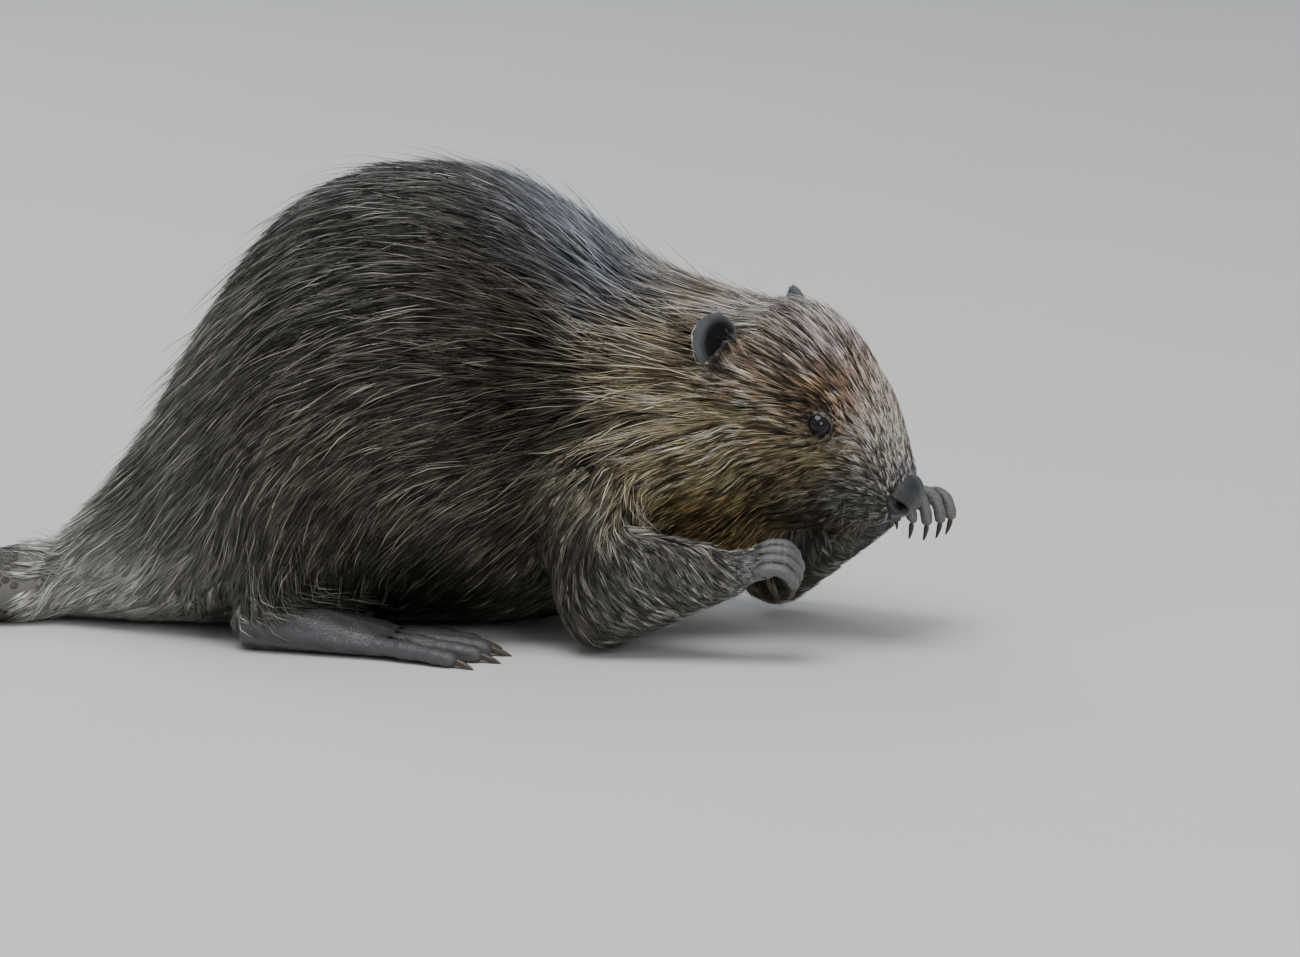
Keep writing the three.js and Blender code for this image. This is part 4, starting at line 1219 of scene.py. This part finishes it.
# one piece of the coat: roots scattered by weight, a line over the skin from each, and a lock round each line
def growCoat(name, skin, tree, weight, look, axis):
    rng = np.random.default_rng(look["seed"])
    chosen, share, root = facesAt(skin, weight, look["spacing"], rng)
    most = look["most"] // look["strands"]
    chosen, share, root = chosen[:most], share[:most], root[:most]
    flow, field = skin["flow"], skin["fields"]
    faceFlow = unit(flow[skin["triangles"]].mean(1))
    count = len(root)

    # a lock's middle line takes a few steps over the skin along the lie of the coat
    lengths = atRoots(skin, field["length"], chosen, share) * look["length"] * rng.uniform(0.75, 1.2, count)
    depth = atRoots(skin, field["depth"], chosen, share)
    swing = np.radians(look["stray"]) * rng.normal(size=count)
    swing = swing + 0.16 * ripple(root, 46, 11) + 0.10 * ripple(root, 17, 12)
    steps = look["steps"]
    here, face = root, chosen
    spots, outs = [root], [atRoots(skin, skin["normals"], chosen, share)]
    for step in range(steps):
        way = faceFlow[face]
        out = outs[-1]
        way = inPlane(way, out)
        across = np.cross(out, way)
        way = way * np.cos(swing)[:, None] + across * np.sin(swing)[:, None]
        aim = here + way * (lengths / steps)[:, None]
        found = [tree.find_nearest(p) for p in aim.tolist()]
        here = np.array([f[0] for f in found])
        outs.append(unit(0.5 * out + 0.5 * skin["normals"][skin["triangles"][[f[2] for f in found]]].mean(1)))
        face = np.array([f[2] for f in found])
        spots.append(here)
    spots, outs = np.stack(spots, 1), np.stack(outs, 1)

    # its strands start round the root and draw together towards the tip
    kids = look["strands"]
    owner = np.repeat(np.arange(count), kids)
    total = len(owner)
    out0 = outs[owner, 0]
    ahead = unit(spots[owner, 1] - spots[owner, 0])
    across = np.cross(out0, ahead)
    ring = rng.normal(size=(total, 2)) * look["spacing"] * look["loose"]
    upstream = look["upstream"] * (lengths * smooth(3, 6, depth))[owner]  # covers the partings of the coat
    offset = across * ring[:, :1] + ahead * (ring[:, 1:] - upstream[:, None])
    t = np.linspace(0, 1, steps + 1)
    pull = look["gather"] * rng.uniform(0.7, 1.1, total)
    spread = 1 - pull[:, None] * t[None] ** 1.3
    lift = np.clip(rng.normal(look["lift"], look["ragged"], total), 0.25, 1.12)
    lift = depth[owner] * (lift * rng.uniform(0.8, 1.1, count)[owner])
    standing = rng.random(total) < look["wild"]
    lift = np.where(standing, lift * rng.uniform(1.1, look["high"], total), lift)
    arc = (t ** look["rise"])[None] * lift[:, None]
    short = 1 + look["ragged"] * rng.uniform(-1.4, 0.6, total)
    stretch = spots[owner, :1] + (spots[owner] - spots[owner, :1]) * short[:, None, None]
    bend = (rng.normal(size=total) * look["bend"])[:, None] * t[None] ** 2
    sunk = np.minimum(look["sink"], 0.22 * depth[owner])[:, None] * (1 - t[None])
    lines = stretch + offset[:, None] * spread[..., None] + outs[owner] * (arc - sunk)[..., None]
    lines = lines + across[:, None] * bend[..., None]
    lines[..., 2] = np.maximum(lines[..., 2], footFlat + 0.5)
    widths = look["width"] * atRoots(skin, field["width"], chosen, share)[owner]
    widths = widths * rng.uniform(0.65, 1.3, total)
    points, faces, size = strandMesh(lines, outs[owner], widths, np.array(look["taper"]))

    made = objectFrom(name, points, faces)
    ground, tip, gap = (atRoots(skin, field[key], chosen, share)[owner] for key in ("ground", "tip", "gap"))
    clump = rng.normal(size=count)[owner]
    tone = look["patchy"] * clump + look["uneven"] * rng.normal(size=total)
    tone = np.exp(tone + 0.16 * ripple(root, 70, 21)[owner])
    pale = np.clip(rng.random(total) ** look["paleRarity"] + look["clumped"] * clump, 0, 1.15)
    along = np.append(np.repeat(t[:steps], 3), 1.0)
    # painted shade, partly the darker underfur: each strand darkens to the gap colour at its root, where the
    # locks shade one another
    rootward = mix(gap[:, None], ground[:, None], smooth(0.1, 0.75, along)[None, :, None])
    tipward = mix(ground, tip * look["shine"], pale[:, None])[:, None]
    colours = mix(rootward, tipward, smooth(*look["flash"], along)[None, :, None]) * tone[:, None, None]
    colourVerts(made, "hairColour", np.clip(colours, 0.001, 0.95).reshape(-1, 3))
    corner = np.stack([along, np.append(np.tile([0.0, 0.5, 1.0], steps), 0.5)], -1)
    rootUv = unwrapped(root, *axis)[owner] + rng.uniform(-0.001, 0.001, (total, 2))
    addBakeMap(made, size, rootUv, look["patch"], corner)
    made.data.materials.append(bpy.data.materials["coatHair"])
    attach(made, "root")
    print(name, total, "strands", sum(len(f) * (f.shape[1] - 2) for f in faces), "triangles")


# how each kind of coat grows; lengths and depths are shares of the coat's own at that place
bodyLook = {
    "seed": 1, "spacing": 4.4,  # mm between locks
    "strands": 6,  # in a lock
    "most": 14000, "steps": 2, "taper": (0.8, 0.95),
    "length": 1.0, "width": 1.0, "lift": 0.72, "ragged": 0.12, "rise": 0.85, "sink": 1.2,
    "gather": 0.75,  # how far a lock's strands draw together at the tip
    "loose": 0.42,  # how wide a lock is at its root, as a share of the spacing
    "upstream": 0.13,  # how far before its root a lock starts, as a share of its length
    "stray": 4.0,  # degrees off the lie of the coat
    "bend": 1.2,  # mm at the tip, to one side
    "wild": 0.02, "high": 1.5,  # this share of the strands stands up to this many times as high
    "patchy": 0.32, "uneven": 0.20,  # how much the tone changes from lock to lock and strand to strand
    "paleRarity": 4.0, "clumped": 0.32,  # how few strands have pale tips, and how much they keep to a lock
    "shine": 1.0, "flash": (0.35, 0.9),  # the tip's tone, and where along the strand it comes in
    "patch": 0.003,  # of the bake map, for one strand
}
headLook = dict(bodyLook, seed=2, spacing=3.3, gather=0.88, lift=0.8, bend=0.5, sink=0.8, length=1.15,
                stray=3.0, width=0.92, patchy=0.6, paleRarity=1.7, shine=1.12)
faceLook = dict(bodyLook, seed=5, spacing=1.7, strands=6, most=26000, steps=1, stray=5.0, gather=0.65,
                lift=0.8, bend=0.0, sink=0.3, taper=(1.0,), patchy=0.62, paleRarity=1.5, shine=1.12)
armLook = dict(bodyLook, seed=3, spacing=2.7, strands=5, stray=6.0, gather=0.75, lift=0.8, bend=0.6,
               sink=0.5, patchy=0.5, paleRarity=2.1)
guardLook = dict(bodyLook, seed=4, spacing=5.0, strands=1, most=9000, steps=3, stray=3.5, gather=0.0,
                 lift=1.05, wild=0.08, high=2.4, bend=2.4, length=1.6, width=0.58, taper=(0.9, 1.0, 0.75),
                 paleRarity=0.35, shine=1.0, flash=(0.1, 0.7))
crownLook = dict(guardLook, seed=6, spacing=3.0, most=4600, lift=0.95, wild=0.03, high=1.4, bend=1.0,
                 length=1.35, width=0.52, shine=1.15)
strandsMost = {"body": (13800, 11700), "head": (14000, 10500), "foreleg": (12000, 6500)}  # right, left


# the coat's length, width, depth, colours and lie at every point of the skin, and where it is short or bare
def coatFields(skin):
    points, normals, part, edges = skin["points"], skin["normals"], skin["part"], skin["edges"]
    back, above = headPlace(points)[::2]
    onHead = headShare(points)
    flow = lieOf(points, normals, part)
    flow = relaxed(flow, edges, [0.5] * 12 + [2 * onHead * (1 - onHead)] * 70)
    flow = inPlane(flow, normals)
    eyeGap = np.full(len(points), 99.0)
    towards = np.zeros(len(points))
    for side in sides.values():
        offset = points - eyeFrame(side)[0]
        gap = lengthOf(offset)
        away = inPlane(offset, normals)
        facing = np.where(gap < 22, np.maximum(-(flow * away).sum(1), 0), 0)
        flow = flow + away * (1.25 * facing * (1 - smooth(10, 19, gap)))[:, None]
        towards = np.maximum(towards, facing)
        eyeGap = np.minimum(eyeGap, gap)
    skin["flow"] = unit(flow)
    body = np.interp(points[:, 2], [0, 120, 280], [32, 42, 46])
    head = np.interp(back, [5, 22, 45, 75, 110, 160], [3.6, 6.5, 13, 19, 26, 35])
    length = mix(body, head, onHead)
    share = nearArm(points)[0]
    length = mix(length, np.interp(share, [-0.3, 0.4, 0.95], [27, 22, 14]), part["foreleg"] * armNear(points))
    front, hollow = inEar(points, normals, part["ear"])
    length = mix(length, 3.4 - 1.0 * front, part["ear"])
    length = mix(length, 5.5, part["forepaw"])
    length = mix(length, 9.0, np.maximum(part["hindfoot"], part["tail"]))
    width = mix(1.2, np.interp(back, [5, 25, 60, 110, 160], [0.42, 0.5, 0.75, 0.95, 1.15]), onHead)
    width = mix(width, np.interp(share, [0.0, 0.95], [1.0, 0.72]), part["foreleg"] * armNear(points))
    width = mix(width, 0.5, part["forepaw"])
    width = mix(width, 0.3, part["ear"])
    depth = np.maximum(coatDepth(points, part), 0.9)
    depth = depth + 3.5 * onHead * smooth(60, 85, back) * smooth(22, 45, above)  # fuller between the ears
    depth = mix(mix(depth, 0.45, part["ear"]), 2.8, earBase(points, normals))
    for side in sides.values():
        middle, fore = earFrame(side)[:2]
        ahead = (points - middle) @ fore > -4
        reach = np.maximum(lengthOf(points - middle) - 8, 5.0)
        width = np.where(ahead & (reach < length), width * np.clip(reach / 16, 0.45, 1), width)
        length = np.where(ahead, np.minimum(length, reach), length)
    nearEye = 1 - smooth(9.0, 17, eyeGap)
    length = mix(length, 5.0, nearEye)
    width = mix(width, 0.5, nearEye)
    depth = mix(depth, 1.7, nearEye)
    reach = np.maximum(0.9 * (eyeGap - eyeSet["radius"]), 1.4)
    length = np.where(towards > 0.2, np.minimum(length, reach), length)
    ground, tip, gap = coatTones(points, part)
    skin["fields"] = {"length": length, "width": width, "depth": depth,
                      "ground": ground, "tip": tip, "gap": gap}
    bare = np.maximum.reduce([smooth(0.35, 0.6, part["hindfoot"]), smooth(0.3, 0.55, part["tail"])])
    bare = np.maximum(bare, smooth(0.25, 0.5, part["forepaw"]) * (1 - handFur(points, normals)))
    bare = np.maximum.reduce([bare, (eyeGap < eyeSet["radius"] + 0.68) * 1.0, hollow > 0.35])
    skin["short"] = np.maximum(1 - smooth(38, 56, back), 1 - smooth(11, 15, eyeGap)) * onHead
    skin["short"] = np.maximum(skin["short"], smooth(0.3, 0.6, part["ear"]))
    skin["furred"] = np.where(points[:, 2] > 1.5, 1 - bare, 0)


def makeCoat(skin, tree):  # body, head and forelegs by side, then the face and the long guard hairs
    coatFields(skin)
    points, part, furred = skin["points"], skin["part"], skin["furred"]
    back = headPlace(points)[0]
    onHead = headShare(points)
    armed = part["foreleg"] + part["forepaw"]
    head = (onHead > 0.5) & (armed < 0.5)
    arm = (armed >= 0.5) & ~head
    body = ~head & ~arm
    spine = (np.array([-290.0, 0, 110]), np.array([190.0, -30, 120]), np.array([0, 0, 1.0]))
    headAxis = (inHead(175, 0, 0), inHead(0, 0, -8), headUp)
    regions = {"Rump": (-400, -150), "Flank": (-150, -20), "Shoulder": (-20, 400)}
    coatPaint()
    for region, (low, high) in regions.items():
        for name, side in sides.items():
            here = body & (points[:, 0] >= low) & (points[:, 0] < high) & (side * points[:, 1] >= 0)
            look = dict(bodyLook, seed=10 + len(region) + side, most=strandsMost["body"][side > 0])
            growCoat(f"coat{region}_{name}", skin, tree, furred * here, look, spine)
    middle = headPlace(points)[1]
    gap = {name: lengthOf(points - joints[1:].mean(0)) for name, joints in arms.items()}
    for name, side in sides.items():
        here = head & (-side * middle >= 0)
        look = dict(headLook, seed=20 + side, most=strandsMost["head"][side > 0])
        weight = furred * here * (1 - 0.6 * skin["short"])
        growCoat(f"coatHead_{name}", skin, tree, weight, look, headAxis)
        elbow, wrist = arms[name][1:]
        here = arm & (gap[name] < gap["left" if name == "right" else "right"])
        look = dict(armLook, seed=30 + side, most=strandsMost["foreleg"][side > 0])
        growCoat(f"coatForeleg_{name}", skin, tree, furred * here, look,
                 (elbow, wrist + (wrist - elbow) * 0.2, np.array([0, 0, 1.0])))
    growCoat("coatFace", skin, tree, furred * head * skin["short"], faceLook, headAxis)
    far = mix(1, 0.55, smooth(10, 40, points[:, 1]))
    growCoat("guardHairs", skin, tree, furred * body * smooth(20, 120, points[:, 2]) * far, guardLook, spine)
    crown = furred * head * smooth(26, 60, back) * (1 - smooth(0.02, 0.3, part["ear"])) * far
    growCoat("guardHairsHead", skin, tree, crown, crownLook, headAxis)


whiskerSet = {"each": 26, "long": (9.0, 32.0), "width": 0.2, "droop": 24.0}


# whiskers: thin tapering strands rooted in the upper lip, bending down under their own weight
def makeWhiskers(tree):
    rng = np.random.default_rng(8)
    lines, outs = [], []
    for side in sides.values():
        n = whiskerSet["each"]
        back = rng.uniform(12, 36, n)
        above = rng.uniform(-33, -10, n)
        aim = inHead(back, -side * 60.0 * np.ones(n), above)
        middle = inHead(back, 0 * back, above)
        hits = [tree.ray_cast(a, unit(m - a)) for a, m in zip(aim, middle)]
        found = np.array([h[0] is not None for h in hits])
        root = np.array([h[0] if h[0] is not None else (0, 0, 0) for h in hits])[found]
        out = np.array([h[1] if h[1] is not None else (0, 0, 0) for h in hits])[found]
        n = len(root)
        way = out * 0.7 - headOn * rng.uniform(-0.4, 0.8, (n, 1)) - headUp * rng.uniform(0.1, 1.1, (n, 1))
        way = unit(way + rng.normal(size=(n, 3)) * 0.2)
        long = rng.uniform(*whiskerSet["long"], (n, 1, 1))
        t = np.linspace(0, 1, 7)[None, :, None]
        line = root[:, None] - out[:, None] * 0.8 + way[:, None] * long * t
        line = line - np.array([0, 0, 1.0]) * whiskerSet["droop"] * t ** 2 * (long / 50) ** 2
        lines.append(line)
        outs.append(np.broadcast_to(out[:, None], line.shape))
    lines, outs = np.concatenate(lines), np.concatenate(outs)
    lines[..., 2] = np.maximum(lines[..., 2], footFlat + 0.5)
    taper = np.array([1.0, 0.95, 0.85, 0.7, 0.52, 0.34])
    points, faces, size = strandMesh(lines, outs, np.full(len(lines), whiskerSet["width"]), taper)
    whiskers = objectFrom("whiskers", points, faces)
    tone = rng.uniform(0.06, 0.5, (len(lines), 1, 1)) * linear(206, 200, 178)
    colourVerts(whiskers, "hairColour", np.broadcast_to(tone, (len(lines), size, 3)).reshape(-1, 3))
    whiskers.data.materials.append(whiskerPaint())
    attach(whiskers, "root")


makeStage()
skin = makeSkin()
tree = BVHTree.FromPolygons(skin["points"].tolist(), skin["triangles"].tolist())
makeEyes()
makeNose()
makeClaws()
makeScales(tree)
makeWhiskers(tree)
print("face, claws and tail made")
makeCoat(skin, tree)
